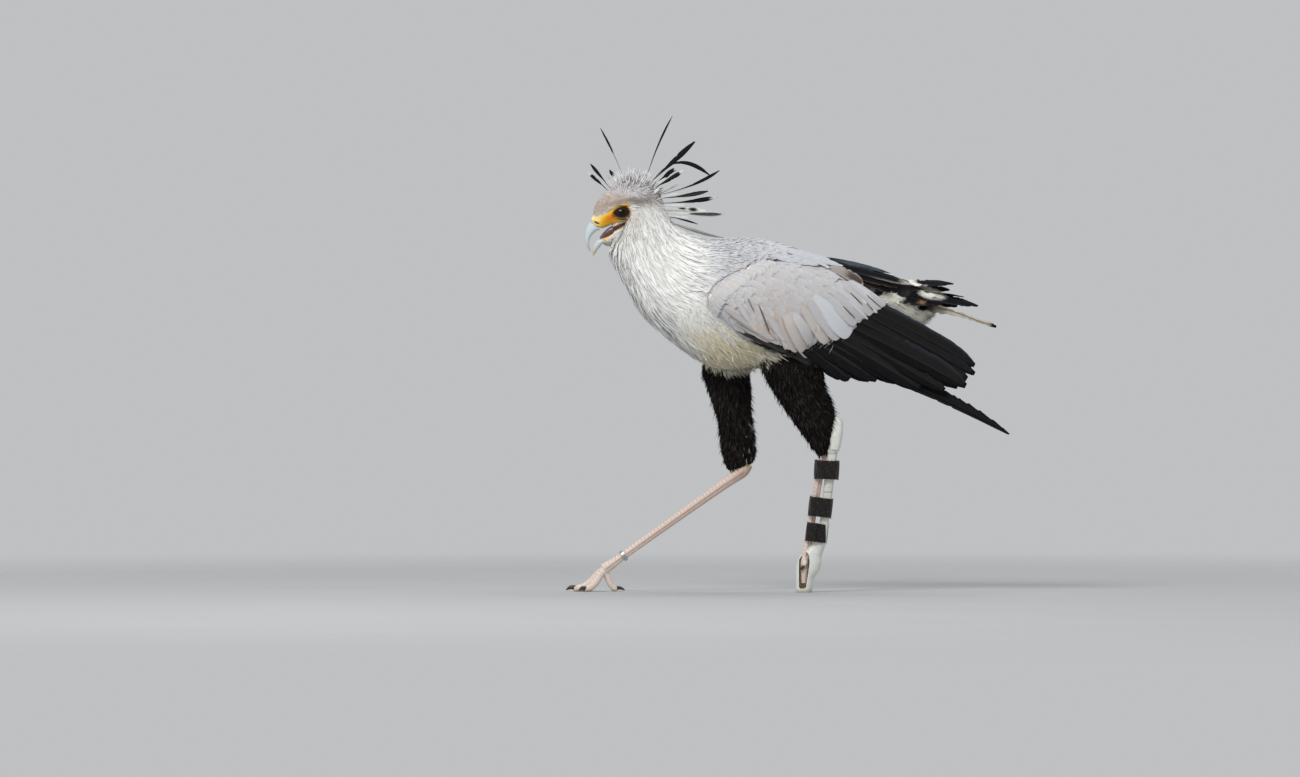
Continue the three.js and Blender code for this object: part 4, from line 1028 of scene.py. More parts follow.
def cut(o, tool, how="DIFFERENCE"):
    m = o.modifiers.new("b", "BOOLEAN")
    m.operation, m.solver, m.object = how, "EXACT", tool
    apply_all(o)
    bpy.data.objects.remove(tool)


shell = joined("splint_shell", [capped(Loft(BOOT, power=2.4).rings(60, 48)), capped(Loft(STRUT, power=3).rings(70, 40)), capped(Loft(CUFF, power=3).rings(50, 40))])
fix_winding(shell)
remesh(shell, 0.0011, 2)
rows = [list(r) for r in BOOT]
rows[0][:4] = [810, 533, 825.2, 535]
rows[7][1] = rows[7][3] = 589
tool = joined("tool_a", [capped(Loft(rows, power=2.4).rings(40, 32, grow=-WALL))])
fix_winding(tool)
cut(shell, tool)
OPENING = [(799.0, 556), (801, 552.6), (804, 551.4), (807.2, 552.4), (808.8, 556), (809.2, 563), (807.8, 573), (806.4, 582), (805.6, 587), (804.4, 588.4), (800.2, 588.4), (798.8, 587), (798.6, 572)]
opening = np.array([[[float(X(a)), y_, float(Z(b))] for a, b in OPENING] for y_ in (-0.09, SPLINT_Y / 1000)])
win = joined("tool_b", [capped(opening)])
fix_winding(win)
cut(shell, win)
remesh(shell, 0.0008, 4)
co, no = coords(shell), vertex_normals(shell)
u, v = U_of(co[:, 0]), V_of(co[:, 2])
h = 0.0005 * (smooth(447.5, 449, v) * smooth(453, 451.5, v)) - 0.0004 * np.exp(-((v - 492) / 0.7) ** 2)
for rv in (486, 498, 424, 436):
    for ru in (3.2,):
        cu = np.interp(rv, [420, 437, 452, 480, 512, 542], [837, 833.5, 832, 829, 825, 821.5])
        h += 0.0009 * np.exp(-(((u - cu) / 1.1) ** 2 + ((v - rv) / 1.1) ** 2) ** 2) * (co[:, 1] < -0.03 + 0.0)
h += 0.00012 * wobble(co, 190, 2)
h *= smooth(0.0003, 0.002, co[:, 2])
set_coords(shell, co + no * h[:, None])
flat = coords(shell)
flat[flat[:, 2] < 0.0006, 2] = 0.0
set_coords(shell, flat)
c = np.tile(srgb(230, 232, 227), (len(co), 1))
c = blend_to(c, srgb(206, 203, 190), (0.5 + 0.5 * wobble(co, 70, 3)) * 0.35)
c = blend_to(c, srgb(196, 190, 172), smooth(430, 500, v) * smooth(560, 520, v) * 0.35)
c = blend_to(c, srgb(120, 104, 82), smooth(0.35, 0.95, wobble(co, 260, 9)) * 0.22)
c = blend_to(c, srgb(150, 132, 104), smooth(0.010, 0.0, co[:, 2]) * 0.55)
c = blend_to(c, srgb(150, 146, 136), np.exp(-((v - 492) / 0.7) ** 2) * 0.8)
c = blend_to(c, srgb(150, 146, 138), np.exp(-((v - 453.2) / 0.8) ** 2) * 0.7)
bt = np.array(BOOT)
bv = (bt[:, 1] + bt[:, 3]) / 2
rr = (np.abs(u - np.interp(v, bv, (bt[:, 0] + bt[:, 2]) / 2)) / np.interp(v, bv, (bt[:, 2] - bt[:, 0]) / 2)) ** 2.4
rr = (rr + (np.abs(co[:, 1] * 1000 - np.interp(v, bv, bt[:, 4])) / np.interp(v, bv, bt[:, 5])) ** 2.4) ** (1 / 2.4)
c = blend_to(c, srgb(206, 192, 172), smooth(0.93, 0.87, rr) * smooth(545, 550, v) * 0.9)
set_colours(shell, c)
M_PLASTIC = attribute_material("moulded_plastic", 0.34, 0.45, bump=(140, 0.0004), speck=0.025, coat=0.12, rough_noise=0.1)
shell.data.materials.clear()
shell.data.materials.append(M_PLASTIC)
dec = shell.modifiers.new("d", "DECIMATE")
dec.ratio = 0.3
apply_all(shell)
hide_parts("splint")
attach(shell, "root")


def strap_material():
    mat = attribute_material("hook_and_loop", 0.92, 0.12, sheen=0.25, speck=0.2)
    nt = mat.node_tree
    bsdf = [n for n in nt.nodes if n.type == "BSDF_PRINCIPLED"][0]
    uv = node(nt, "ShaderNodeTexCoord")
    vor = node(nt, "ShaderNodeTexVoronoi", Scale=1150.0)
    nt.links.new(uv.outputs["Object"], vor.inputs["Vector"])
    b = node(nt, "ShaderNodeBump", Strength=1.0, Distance=0.0007)
    nt.links.new(vor.outputs["Distance"], b.inputs["Height"])
    nt.links.new(b.outputs[0], bsdf.inputs["Normal"])
    return mat


M_STRAP = strap_material()
STRAPS = [(826.3, 469.6, 0.04, 23.6, 34, 18.4, -29.5), (820.3, 507.0, 0.12, 21.8, 32, 18.9, -23.0), (816.4, 532.4, 0.13, 20.6, 31, 18.2, -18.8)]
for k, (su, sv, tilt, deep, wide, tall, yc) in enumerate(STRAPS):
    mid = at(su, sv, yc)
    a, b, hgt = deep * UNIT / 2, wide / 2000, tall * UNIT
    end = math.radians((205, 190, 215)[k])  # where the loose end lies, on the near side
    n_round, n_up = 150, 26
    ang = end + np.linspace(0, 2 * math.pi + 0.95, n_round)
    lap = smooth(2 * math.pi - 0.35, 2 * math.pi + 0.05, ang - end)
    z = np.linspace(-0.5, 0.5, n_up)
    thick = 0.0016
    sheets = []
    for layer in (0, 1):
        A, Zz = np.meshgrid(ang, z, indexing="ij")
        off = -0.0004 + lap[:, None] * 0.0017 + layer * thick
        wav = 0.0004 * np.sin(A * 5 + k) + 0.0003 * np.sin(A * 11 + 2 * k + Zz * 5)
        soft_edge = -0.0005 * (np.abs(Zz) * 2) ** 8 * (1 if layer else -1)
        cx, cy = (np.sign(f_(A)) * np.abs(f_(A)) ** 0.78 for f_ in (np.cos, np.sin))
        x, y = (a + off + wav + soft_edge) * cx, (b + off + wav + soft_edge) * cy
        edge = 0.0005 * np.sin(A * 23 + k) * np.sign(Zz) * (np.abs(Zz) * 2) ** 6
        zz = Zz * hgt * (1 - 0.02 * lap[:, None]) + edge
        sheets.append(np.stack([x * math.cos(tilt) + zz * math.sin(tilt), y, -x * math.sin(tilt) + zz * math.cos(tilt)], -1) + mid)
    inner_, outer_ = sheets
    loopv = np.concatenate([outer_, inner_[:, ::-1]], 1)
    vv, qq, tt = capped(loopv)
    # the two ends close flat
    col = np.tile(srgb(40, 38, 38), (len(vv), 1))
    col = blend_to(col, srgb(78, 68, 58), smooth(0.1, 0.9, wobble(vv, 230, 3 + k)) * 0.55)
    col = blend_to(col, srgb(16, 15, 16), smooth(0.2, 0.9, wobble(vv, 420, 8 + k)) * 0.6)
    st = build("strap_%d" % (k + 1), vv, qq, tt, colours=col, mat=M_STRAP)
    fix_winding(st)
    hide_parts("splint_strap_%d" % (k + 1))
    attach(st, "root")
    # frayed threads along both edges
    frays = []
    for i in range(130):
        A = rng.uniform(0, 2 * math.pi)
        up = 1 if rng.random() < 0.5 else -1
        base = np.array([(a + 0.0006) * math.copysign(abs(math.cos(A)) ** 0.78, math.cos(A)), (b + 0.0006) * math.copysign(abs(math.sin(A)) ** 0.78, math.sin(A)), up * hgt * 0.495])
        d = unit(np.array([math.cos(A) * 0.5 + rng.normal(0, 0.6), math.sin(A) * 0.5 + rng.normal(0, 0.6), up * rng.uniform(0.2, 1.0)]))
        L = rng.uniform(0.0012, 0.0042)
        pts = [base + d * L * s + np.array([0, 0, -0.0004 * s * s]) * up for s in (0, 0.5, 1.0)]
        pts = [np.array([p[0] * math.cos(tilt) + p[2] * math.sin(tilt), p[1], -p[0] * math.sin(tilt) + p[2] * math.cos(tilt)]) + mid for p in pts]
        frays.append(capped(tube(pts, np.array([0.16, 0.13, 0.05]) / 1000, 4)))
    fr = joined("strap_threads_%d" % (k + 1), frays, mat=M_STRAP)
    set_colours(fr, np.tile(srgb(34, 32, 32), (len(fr.data.vertices), 1)))
    fix_winding(fr)
    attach(fr, "root")


def metal_material():
    mat = bpy.data.materials.new("brushed_ring")
    nt, bsdf, out = nodes_of(mat)
    tc = node(nt, "ShaderNodeTexCoord")
    nz = node(nt, "ShaderNodeTexNoise", Scale=260.0, Detail=5.0)
    nt.links.new(tc.outputs["Object"], nz.inputs["Vector"])
    r = ramp(nt, [(0.3, (0.36, 0.37, 0.38)), (0.65, (0.62, 0.63, 0.64))])
    nt.links.new(nz.outputs[0], r.inputs[0])
    nt.links.new(r.outputs[0], bsdf.inputs["Base Color"])
    bsdf.inputs["Metallic"].default_value = 0.9
    bsdf.inputs["Roughness"].default_value = 0.32
    b = node(nt, "ShaderNodeBump", Strength=0.6, Distance=0.0002)
    nt.links.new(nz.outputs[0], b.inputs["Height"])
    nt.links.new(b.outputs[0], bsdf.inputs["Normal"])
    return mat


axis = unit(foot_r - hock_r)
centre = mixp(hock_r, foot_r, 0.86)
prof = [(8.95, -3.1), (9.1, -3.45), (10.1, -3.5), (10.5, -3.2), (10.6, -2.6), (10.6, 0), (10.6, 2.6), (10.5, 3.2), (10.1, 3.5), (9.1, 3.45), (8.95, 3.1), (8.9, 0)]
n1 = unit(np.array([0, 1.0, 0]) - axis * axis[1])
n2 = np.cross(axis, n1)
nq = 72
qa = np.arange(nq) / nq * 2 * np.pi
rings = np.array([[centre + axis * hh / 1000 + (n1 * math.cos(x) + n2 * math.sin(x)) * rr / 1000 for x in qa] for rr, hh in prof])
rv = rings.reshape(-1, 3)
rq = []
for i in range(len(prof)):
    j = (i + 1) % len(prof)
    a_ = i * nq + np.arange(nq)
    b_ = i * nq + (np.arange(nq) + 1) % nq
    rq.append(np.stack([a_, b_, j * nq + (np.arange(nq) + 1) % nq, j * nq + np.arange(nq)], -1))
ring_o = build("ring_band", rv, np.concatenate(rq), mat=metal_material())
fix_winding(ring_o)
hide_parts("leg_ring")
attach(ring_o, "root")


# ---------------------------------------------------------------- feathers: the maker
def project(d, n):
    return unit(d - n * np.sum(d * n, -1, keepdims=True))


RING3 = [(-1, 0.0, 0), (0, 1.0, 0), (1, 0.0, 0)]
RING6 = [(-1, 0.0, 0), (-0.5, 0.75, 0), (0, 1.0, 0), (0.5, 0.75, 0), (1, 0.0, 0), (0, 0.9, 1)]


def chain(root, direction, length, share, lift, stiff, bias=None):
    """Lay each feather along the skin: rows of places, normals and directions."""
    n_rows = len(share)
    p, n = on_skin(root)
    d = project(direction, n)
    lift = np.asarray(lift, float)
    if lift.ndim == 1:
        lift = lift[:, None] * np.ones(len(root))[None]
    P, NN, D = [p + n * lift[0][:, None]], [n], [d]
    cur = P[0]
    for k in range(1, n_rows):
        step = length * (share[k] - share[k - 1])
        new = cur + D[-1] * step[:, None]
        if bias is not None:
            new = new + bias * (step * share[k])[:, None]
        q, m = on_skin(new)
        h = np.sum((new - q) * m, 1)
        want = lift[k]
        h2 = np.where(h < want, want, want + (h - want) * stiff)
        moved = new + m * (h2 - h)[:, None]
        # a tip past an edge of the body keeps its own way
        far = np.linalg.norm(new - q - m * h[:, None], axis=1) > 0.0015
        moved[far & (h > -0.001)] = new[far & (h > -0.001)]
        m = unit(NN[-1] * 0.5 + m * 0.5)
        d = unit(moved - cur)
        P.append(moved)
        NN.append(m)
        D.append(project(d, m) * (1 - stiff) + d * stiff)
        cur = moved
    return np.array(P), np.array(NN), np.array([unit(x) for x in D])


def feathers(name, root, direction, length, width, share, wide, lift, colour, uv, mat, slot, stiff=0.3, ring=RING3, cup=0.25,
             thick=0.06, soft=0.7, paint=None, ragged=0.0, bend=0.0, bias=None, drop=0.0, path=None):
    """One mesh of many feathers. share, wide and lift are profiles along a feather."""
    n = len(root)
    share, wide = np.asarray(share, float), np.asarray(wide, float)
    K, C = len(share), len(ring)
    P, NN, D = chain(root, direction, length, share, lift, stiff, bias) if path is None else path
    B = unit(np.cross(NN, D))
    if np.any(bend):
        P = P + B * (np.asarray(bend) * length)[None, :, None] * (share**2)[:, None, None]
    if drop:
        P = P - NN * (share**3)[:, None, None] * (drop * length)[None, :, None]
    W = wide[:, None] * width[None] / 2
    if np.ndim(ragged) or ragged:
        side = rng.normal(0, 1, (K, n, 2)) * ragged
        side[0] = 0
    else:
        side = np.zeros((K, n, 2))
    V = np.zeros((n, K, C, 3))
    NV = np.zeros((n, K, C, 3))
    for c, (s, up, bottom) in enumerate(ring):
        g = 1 + (side[..., 0] if s < 0 else side[..., 1] if s > 0 else 0)
        off = B * (W * s * g)[..., None] + NN * (W * cup * (up if not bottom else up))[..., None] - NN * (bottom * thick * W)[..., None]
        if bottom:
            off = off - NN * 0.00012
        V[:, :, c] = np.swapaxes(P + off, 0, 1)
        own = NN + B * s * 0.8
        if bottom:
            own = -NN
        NV[:, :, c] = np.swapaxes(unit(NN * soft + own * (1 - soft)) if not bottom else own, 0, 1)
    idx = np.arange(n)[:, None, None] * (K * C)
    k, c = np.meshgrid(np.arange(K - 1), np.arange(C), indexing="ij")
    a = k * C + c
    b = k * C + (c + 1) % C
    quad = np.stack([a, b, b + C, a + C], -1)[None] + idx[..., None]
    quads = quad.reshape(-1, 4)
    if C == 3:
        caps = np.array([[0, 2, 1], [(K - 1) * C, (K - 1) * C + 1, (K - 1) * C + 2]])
    else:
        e = (K - 1) * C
        caps = np.array([[0, 5, 1], [1, 5, 2], [2, 5, 3], [3, 5, 4], [e, e + 1, e + 5], [e + 1, e + 2, e + 5], [e + 2, e + 3, e + 5], [e + 3, e + 4, e + 5]])
    tris = (caps[None] + idx).reshape(-1, 3)
    T = np.broadcast_to(share[None, :, None], (n, K, C))
    S = np.broadcast_to(np.array([r[0] for r in ring])[None, None], (n, K, C))
    col = np.broadcast_to(colour[:, None, None, :], (n, K, C, 3)).copy()
    if paint is not None:
        col = paint(col, T, S)
    bake = np.stack([uv[:, 0][:, None, None] + 0.003 * (T - 0.5), uv[:, 1][:, None, None] + 0.0015 * S], -1)
    vane = np.stack([S * 0.5 + 0.5, T * (length / 0.02)[:, None, None]], -1)
    o = build(name, V.reshape(-1, 3), quads, tris, colours=col.reshape(-1, 3), uv=bake.reshape(-1, 2), vane=vane.reshape(-1, 2), mat=mat)
    # faces out: check one quad's facing against the skin
    me = o.data
    me.update()
    f = np.empty(len(me.polygons) * 3, np.float32)
    me.polygons.foreach_get("normal", f)
    f = f.reshape(-1, 3)[: (K - 1) * C * n].reshape(n, K - 1, C, 3)
    if np.sum(f[:, :, 0] * np.swapaxes(NN[:-1], 0, 1)) < 0:
        me.flip_normals()
    me.normals_split_custom_set_from_vertices(NV.reshape(-1, 3).tolist())
    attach(o, "root")
    faces = len(quads) * 2 + len(tris)
    print("%-18s %7d feathers %8d triangles" % (name, n, faces))
    return o


def scatter(loft, count, density, t0=0.0, t1=1.0, grid=(260, 160), seed=1, apart=0.0):
    """Root places on a loft: positions, ways along it, (t, q)."""
    r = np.random.default_rng(seed)
    t = np.linspace(t0, t1, grid[0] + 1)
    q = np.linspace(0, 2 * np.pi, grid[1] + 1)
    T, Q = np.meshgrid(t, q, indexing="ij")
    G = loft(T, Q)
    e1, e2 = G[1:, :-1] - G[:-1, :-1], G[:-1, 1:] - G[:-1, :-1]
    area = np.linalg.norm(np.cross(e1, e2), axis=-1)
    mid = loft((T[1:, 1:] + T[:-1, :-1]) / 2, (Q[1:, 1:] + Q[:-1, :-1]) / 2)
    w = area * density(mid.reshape(-1, 3)).reshape(area.shape)
    cdf = np.cumsum(w.ravel())
    pick = np.searchsorted(cdf, (np.arange(count) + r.random(count)) / count * cdf[-1])
    pick = np.clip(pick, 0, w.size - 1)
    i, j = np.unravel_index(pick, w.shape)
    tt = t[i] + r.random(count) * (t[1] - t[0])
    qq = q[j] + r.random(count) * (q[1] - q[0])
    P = loft(tt, qq)
    if apart:
        from mathutils.kdtree import KDTree

        order = r.permutation(count)
        kd = KDTree(count)
        for a_, p_ in enumerate(P):
            kd.insert(p_, a_)
        kd.balance()
        gone, keep = np.zeros(count, bool), []
        for a_ in order:
            if gone[a_]:
                continue
            keep.append(a_)
            for _, b_, _ in kd.find_range(P[a_], apart):
                gone[b_] = True
        keep = np.array(sorted(keep))
        tt, qq, P = tt[keep], qq[keep], P[keep]
    e = 0.004
    D = unit(loft(np.clip(tt + e, 0, 1), qq) - loft(np.clip(tt - e, 0, 1), qq))
    return P, D, tt, qq


def uv_of(t, q):
    return np.stack([0.01 + 0.98 * np.clip(t, 0, 1), 0.01 + 0.98 * (q / (2 * np.pi) % 1)], -1)


def side_way(angle_deg, p):
    """A way across the side view, measured down from straight back."""
    a = np.radians(angle_deg)
    return np.stack([np.cos(a), np.zeros_like(a), -np.sin(a)], -1)


def uvy(p):
    return U_of(p[:, 0]), V_of(p[:, 2]), np.abs(p[:, 1]) * 1000


def shade(base, amount, seed):
    r = np.random.default_rng(seed)
    return np.clip(base * (1 + r.normal(0, amount, (len(base), 1))), 0, 1)


def root_shade_paint(root=0.82, tip=1.0, edge=0.0):
    def paint(col, T, S):
        # painted shade: each strand darker towards its root, deep in the coat; the tip factor sets the colour at the
        # tip
        f = root + (tip - root) * smooth(0, 0.6, T)
        f = f * (1 - edge * np.abs(S) ** 2)
        return col * f[..., None]
    return paint


WING_OUT = [(743, 268), (728, 274), (714, 283), (706.5, 296), (706.5, 306), (714, 319), (743, 340), (770, 351), (800, 357), (850, 345), (884, 310), (853, 285), (833, 270), (812, 261), (790, 257), (757, 258)]


def under_wing(u, v, y):
    return (inside(u, v, WING_OUT, 0.6) > 0.5) & (y > 40)


def short_of_wing(P, D, L):
    """Lengths cut so that no tip runs over the folded wing's outline."""
    u, v, y = uvy(P)
    out = L.copy()
    for k in range(1, 15):
        s = 0.0036 * k
        hit = (inside(u + D[:, 0] * s / UNIT, v - D[:, 2] * s / UNIT, WING_OUT, 0.6) > 0.5) & (y > 34)
        out = np.where(hit & (out > s), np.maximum(s + 0.0006, 0.005), out)
    return out


HAIR = ([0, 0.35, 0.72, 1.0], [0.45, 1.0, 0.75, 0.06])
SHORT = ([0, 0.5, 1.0], [0.6, 1.0, 0.08])
VANE_SHARE = [0, 0.2, 0.45, 0.7, 0.87, 0.96, 1.0]
VANE_WIDE = [0.3, 0.72, 0.98, 1.0, 0.80, 0.48, 0.14]


# ---------------------------------------------------------------- coat of the head
def head_density(p):
    u, v, y = uvy(p)
    m = (u < 648 + 20 * (v < 212)) & ~((u < 634) & (v > 231.5)) & (v < 252)
    bare = inside(u, v, FACE, 0.3) * (y > 5)
    front = smooth(590, 596, u)
    return m * (1 - np.clip(bare * 1.4, 0, 1)) * front + 1e-9


P, D, t, q = scatter(body, 8200, head_density, 0.04, 0.33, seed=3)
u, v, y = uvy(P)
crownness = inside(u, v, [(603, 199), (610, 180), (630, 170), (652, 172), (666, 192), (655, 197), (640, 193), (618, 194)], 5)
L = 0.0040 + 0.0060 * smooth(600, 650, u) + 0.003 * rng.random(len(P)) + 0.0035 * crownness + 0.005 * smooth(640, 660, u)
lift = np.array([0.0001, 0.0006, 0.0011])[:, None] * (1 + 1.2 * smooth(610, 650, u) + 1.3 * crownness)[None]
D = unit(D + np.stack([np.zeros(len(P)), np.zeros(len(P)), -0.35 * smooth(600, 640, u) * smooth(196, 214, v)], -1))
up = unit(np.stack([(u - 626) / 26.0, np.sign(P[:, 1]) * 0.1, np.full(len(P), 0.95)], -1))
D = unit(D * (1 - 0.8 * crownness)[:, None] + up * (0.8 * crownness)[:, None])
c = shade(markings(P, False), 0.07, 1)
c = blend_to(c, srgb(150, 134, 124), (rng.random(len(P)) < 0.3) * 0.45 * spot(u, v, 606, 205, 16, 15, 0.5))
c = blend_to(c, srgb(228, 226, 226), (rng.random(len(P)) < 0.25) * 0.5 * crownness + (rng.random(len(P)) < 0.5) * 0.6 * smooth(644, 660, u))
c = blend_to(c, srgb(128, 112, 102), (rng.random(len(P)) < 0.55) * 0.6 * spot(u, v, 642, 200, 17, 4.6, 0.6, -12))
feathers("coat_head", P, D, L, 0.0010 + 0.0006 * rng.random(len(P)) + 0.0006 * crownness, *SHORT, lift, c, uv_of(t, q), M_SOFT, "plumage_white",
         stiff=0.4, cup=0.3, soft=0.6, paint=root_shade_paint(0.82, 1.04), bend=rng.normal(0, 0.05, len(P)))

# chin and jaw whiskers
P, D, t, q = scatter(jaw, 1900, lambda p: 1.0 * (V_of(p[:, 2]) > 239.6 - 0.58 * (U_of(p[:, 0]) - 605)) + 1e-9, 0.0, 1.0, seed=4)
keep = V_of(P[:, 2]) > 239.6 - 0.58 * (U_of(P[:, 0]) - 605)
P, D, t, q = P[keep], D[keep], t[keep], q[keep]
u, v, y = uvy(P)
back = -D
way = unit(back * 1.0 + np.array([0.12, 0, -0.75]) + rng.normal(0, 0.12, D.shape))
L = 0.006 + 0.010 * rng.random(len(P)) ** 1.5 * smooth(600, 612, u)
c = shade(np.tile(srgb(226, 222, 208), (len(P), 1)), 0.10, 2)
c = blend_to(c, srgb(150, 148, 136), (rng.random(len(P)) < 0.22) * 0.6)
feathers("coat_chin", P, way, L, 0.0008 + 0.0006 * rng.random(len(P)), *HAIR, np.array([0, 0.0008, 0.0022, 0.0042]), c, uv_of(t, q),
         M_SOFT, "plumage_white", stiff=0.9, cup=0.3, soft=0.5, paint=root_shade_paint(0.8, 1.05), bend=rng.normal(0, 0.1, len(P)))

# pale pointed tips over the crown, standing up
P, D, t, q = scatter(body, 230, lambda p: inside(*uvy(p)[:2], [(607, 191), (612, 176), (632, 168), (655, 172), (664, 190), (656, 196), (644, 186), (620, 187)], 1.5) + 1e-9, 0.1, 0.4, seed=5)
u, v, y = uvy(P)
N0 = on_skin(P)[1]
fan = np.stack([(u - 627) / 25.0, np.sign(P[:, 1]) * y / 30.0, np.full(len(P), 1.0)], -1)
way = unit(fan + rng.normal(0, 0.13, fan.shape))
L = (0.012 + 0.012 * rng.random(len(P)) ** 1.3) * (0.8 + 0.35 * smooth(606, 622, u) * smooth(668, 640, u))


def free_strands(name, P, way, L, width, colour, uv, mat, wide=HAIR[1], share=HAIR[0], curve=0.0, paint=None, soft=0.3, face=None):
    """Stiff plumes that leave the skin: flat strands through the air."""
    n, K = len(P), len(share)
    share = np.asarray(share)
    N1 = on_skin(P)[1] if face is None else face
    B = unit(np.cross(N1, way) + 1e-6)
    NN = np.cross(way, B)
    base = P[None] + way[None] * (L[None, :, None] * share[:, None, None]) + np.asarray(curve) * (L[None, :, None] * (share**2)[:, None, None])
    W = np.asarray(wide)[:, None] * width[None] / 2
    V = np.zeros((n, K, 3, 3))
    NV = np.zeros((n, K, 3, 3))
    for c, (s, up, _) in enumerate(RING3):
        V[:, :, c] = np.swapaxes(base + B[None] * (W * s)[..., None] + NN[None] * (W * 0.4 * up)[..., None], 0, 1)
        NV[:, :, c] = unit(N1 * soft + NN * (1 - soft) + B * s * (0.1 + 0.6 * (1 - soft)))[:, None]
    idx = np.arange(n)[:, None, None] * (K * 3)
    k, c = np.meshgrid(np.arange(K - 1), np.arange(3), indexing="ij")
    a, b = k * 3 + c, k * 3 + (c + 1) % 3
    quads = (np.stack([a, b, b + 3, a + 3], -1)[None] + idx[..., None]).reshape(-1, 4)
    tris = (np.array([[0, 2, 1], [(K - 1) * 3, (K - 1) * 3 + 1, (K - 1) * 3 + 2]])[None] + idx).reshape(-1, 3)
    T = np.broadcast_to(share[None, :, None], (n, K, 3))
    S = np.broadcast_to(np.array([-1.0, 0, 1.0])[None, None], (n, K, 3))
    col = np.broadcast_to(colour[:, None, None], (n, K, 3, 3)).copy()
    if paint is not None:
        col = paint(col, T, S)
    bake = np.stack([uv[:, 0][:, None, None] + 0.003 * (T - 0.5), uv[:, 1][:, None, None] + 0.0015 * S], -1)
    vane = np.stack([S * 0.5 + 0.5, T * 2], -1)
    o = build(name, V.reshape(-1, 3), quads, tris, colours=col.reshape(-1, 3), uv=bake.reshape(-1, 2), vane=vane.reshape(-1, 2), mat=mat)
    fix_winding(o)
    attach(o, "root")
    print("%-18s %7d feathers" % (name, n))
    return o


SPIKE = [0.9, 1.0, 0.55, 0.05]
CAP = [(599, 205), (603, 196), (612, 176), (632, 168), (657, 172), (670, 192), (668, 201), (652, 200.5), (634, 197), (616, 200), (604, 207)]
Pl, Dl, tl, ql = scatter(body, 1500, lambda p: inside(*uvy(p)[:2], CAP, 1.5) + 1e-9, 0.06, 0.4, seed=8)
ul, vl, yl = uvy(Pl)
p0, n0 = on_skin(Pl)
top = smooth(197, 184, vl)
wl = project(unit(np.stack([(ul - 618) / 22.0 + 0.35 * (1 - top), np.zeros(len(Pl)), np.full(len(Pl), 0.9)], -1)), n0)
wl = unit(wl + n0 * (0.16 + 0.75 * top)[:, None] + rng.normal(0, 0.12, Pl.shape))
cl = shade(markings(Pl, False), 0.06, 8)
cl = blend_to(cl, srgb(216, 212, 213), (0.25 + 0.5 * top) * (0.4 + 0.6 * rng.random(len(Pl))) * smooth(606, 622, ul))
Pl = p0
free_strands("coat_crown_low", Pl - n0 * 0.0004, wl, 0.0055 + 0.004 * rng.random(len(Pl)) + 0.003 * top + 0.002 * smooth(640, 660, ul), 0.0026 + 0.0016 * rng.random(len(Pl)), cl, uv_of(tl, ql), M_SOFT,
             wide=SPIKE, paint=root_shade_paint(0.92, 1.03), soft=0.85)
c = shade(np.tile(srgb(226, 225, 226), (len(P), 1)), 0.05, 6)
c = blend_to(c, srgb(150, 148, 150), (rng.random(len(P)) < 0.12) * 0.6)
free_strands("coat_crown", P - N0 * 0.0015, way, L, 0.0030 + 0.0018 * rng.random(len(P)), c, uv_of(t, q), M_SOFT,
             wide=SPIKE, paint=root_shade_paint(0.92, 1.06), soft=0.75)


# ---------------------------------------------------------------- coat of the neck and breast
def neck_density(p):
    u, v, y = uvy(p)
    m = (u > 628) & (inside(u, v, [(625, 205), (668, 206), (690, 226), (705, 232), (712, 262), (706, 300), (716, 345), (735, 380), (660, 380), (560, 260), (600, 236), (628, 226)], 3) > 0.5)
    m = m | ((v > 226) & (u < 634) & (u > 600)) | ((v > 238) & (u < 700))
    return m * (v > 200) * (u < 730) + 1e-9


def clumps(P, scale, seed):
    """A shared lean for neighbouring strands, so that they gather in locks."""
    return np.stack([wobble(P, scale, seed), wobble(P, scale * 1.1, seed + 3), wobble(P, scale * 0.9, seed + 7)], -1)


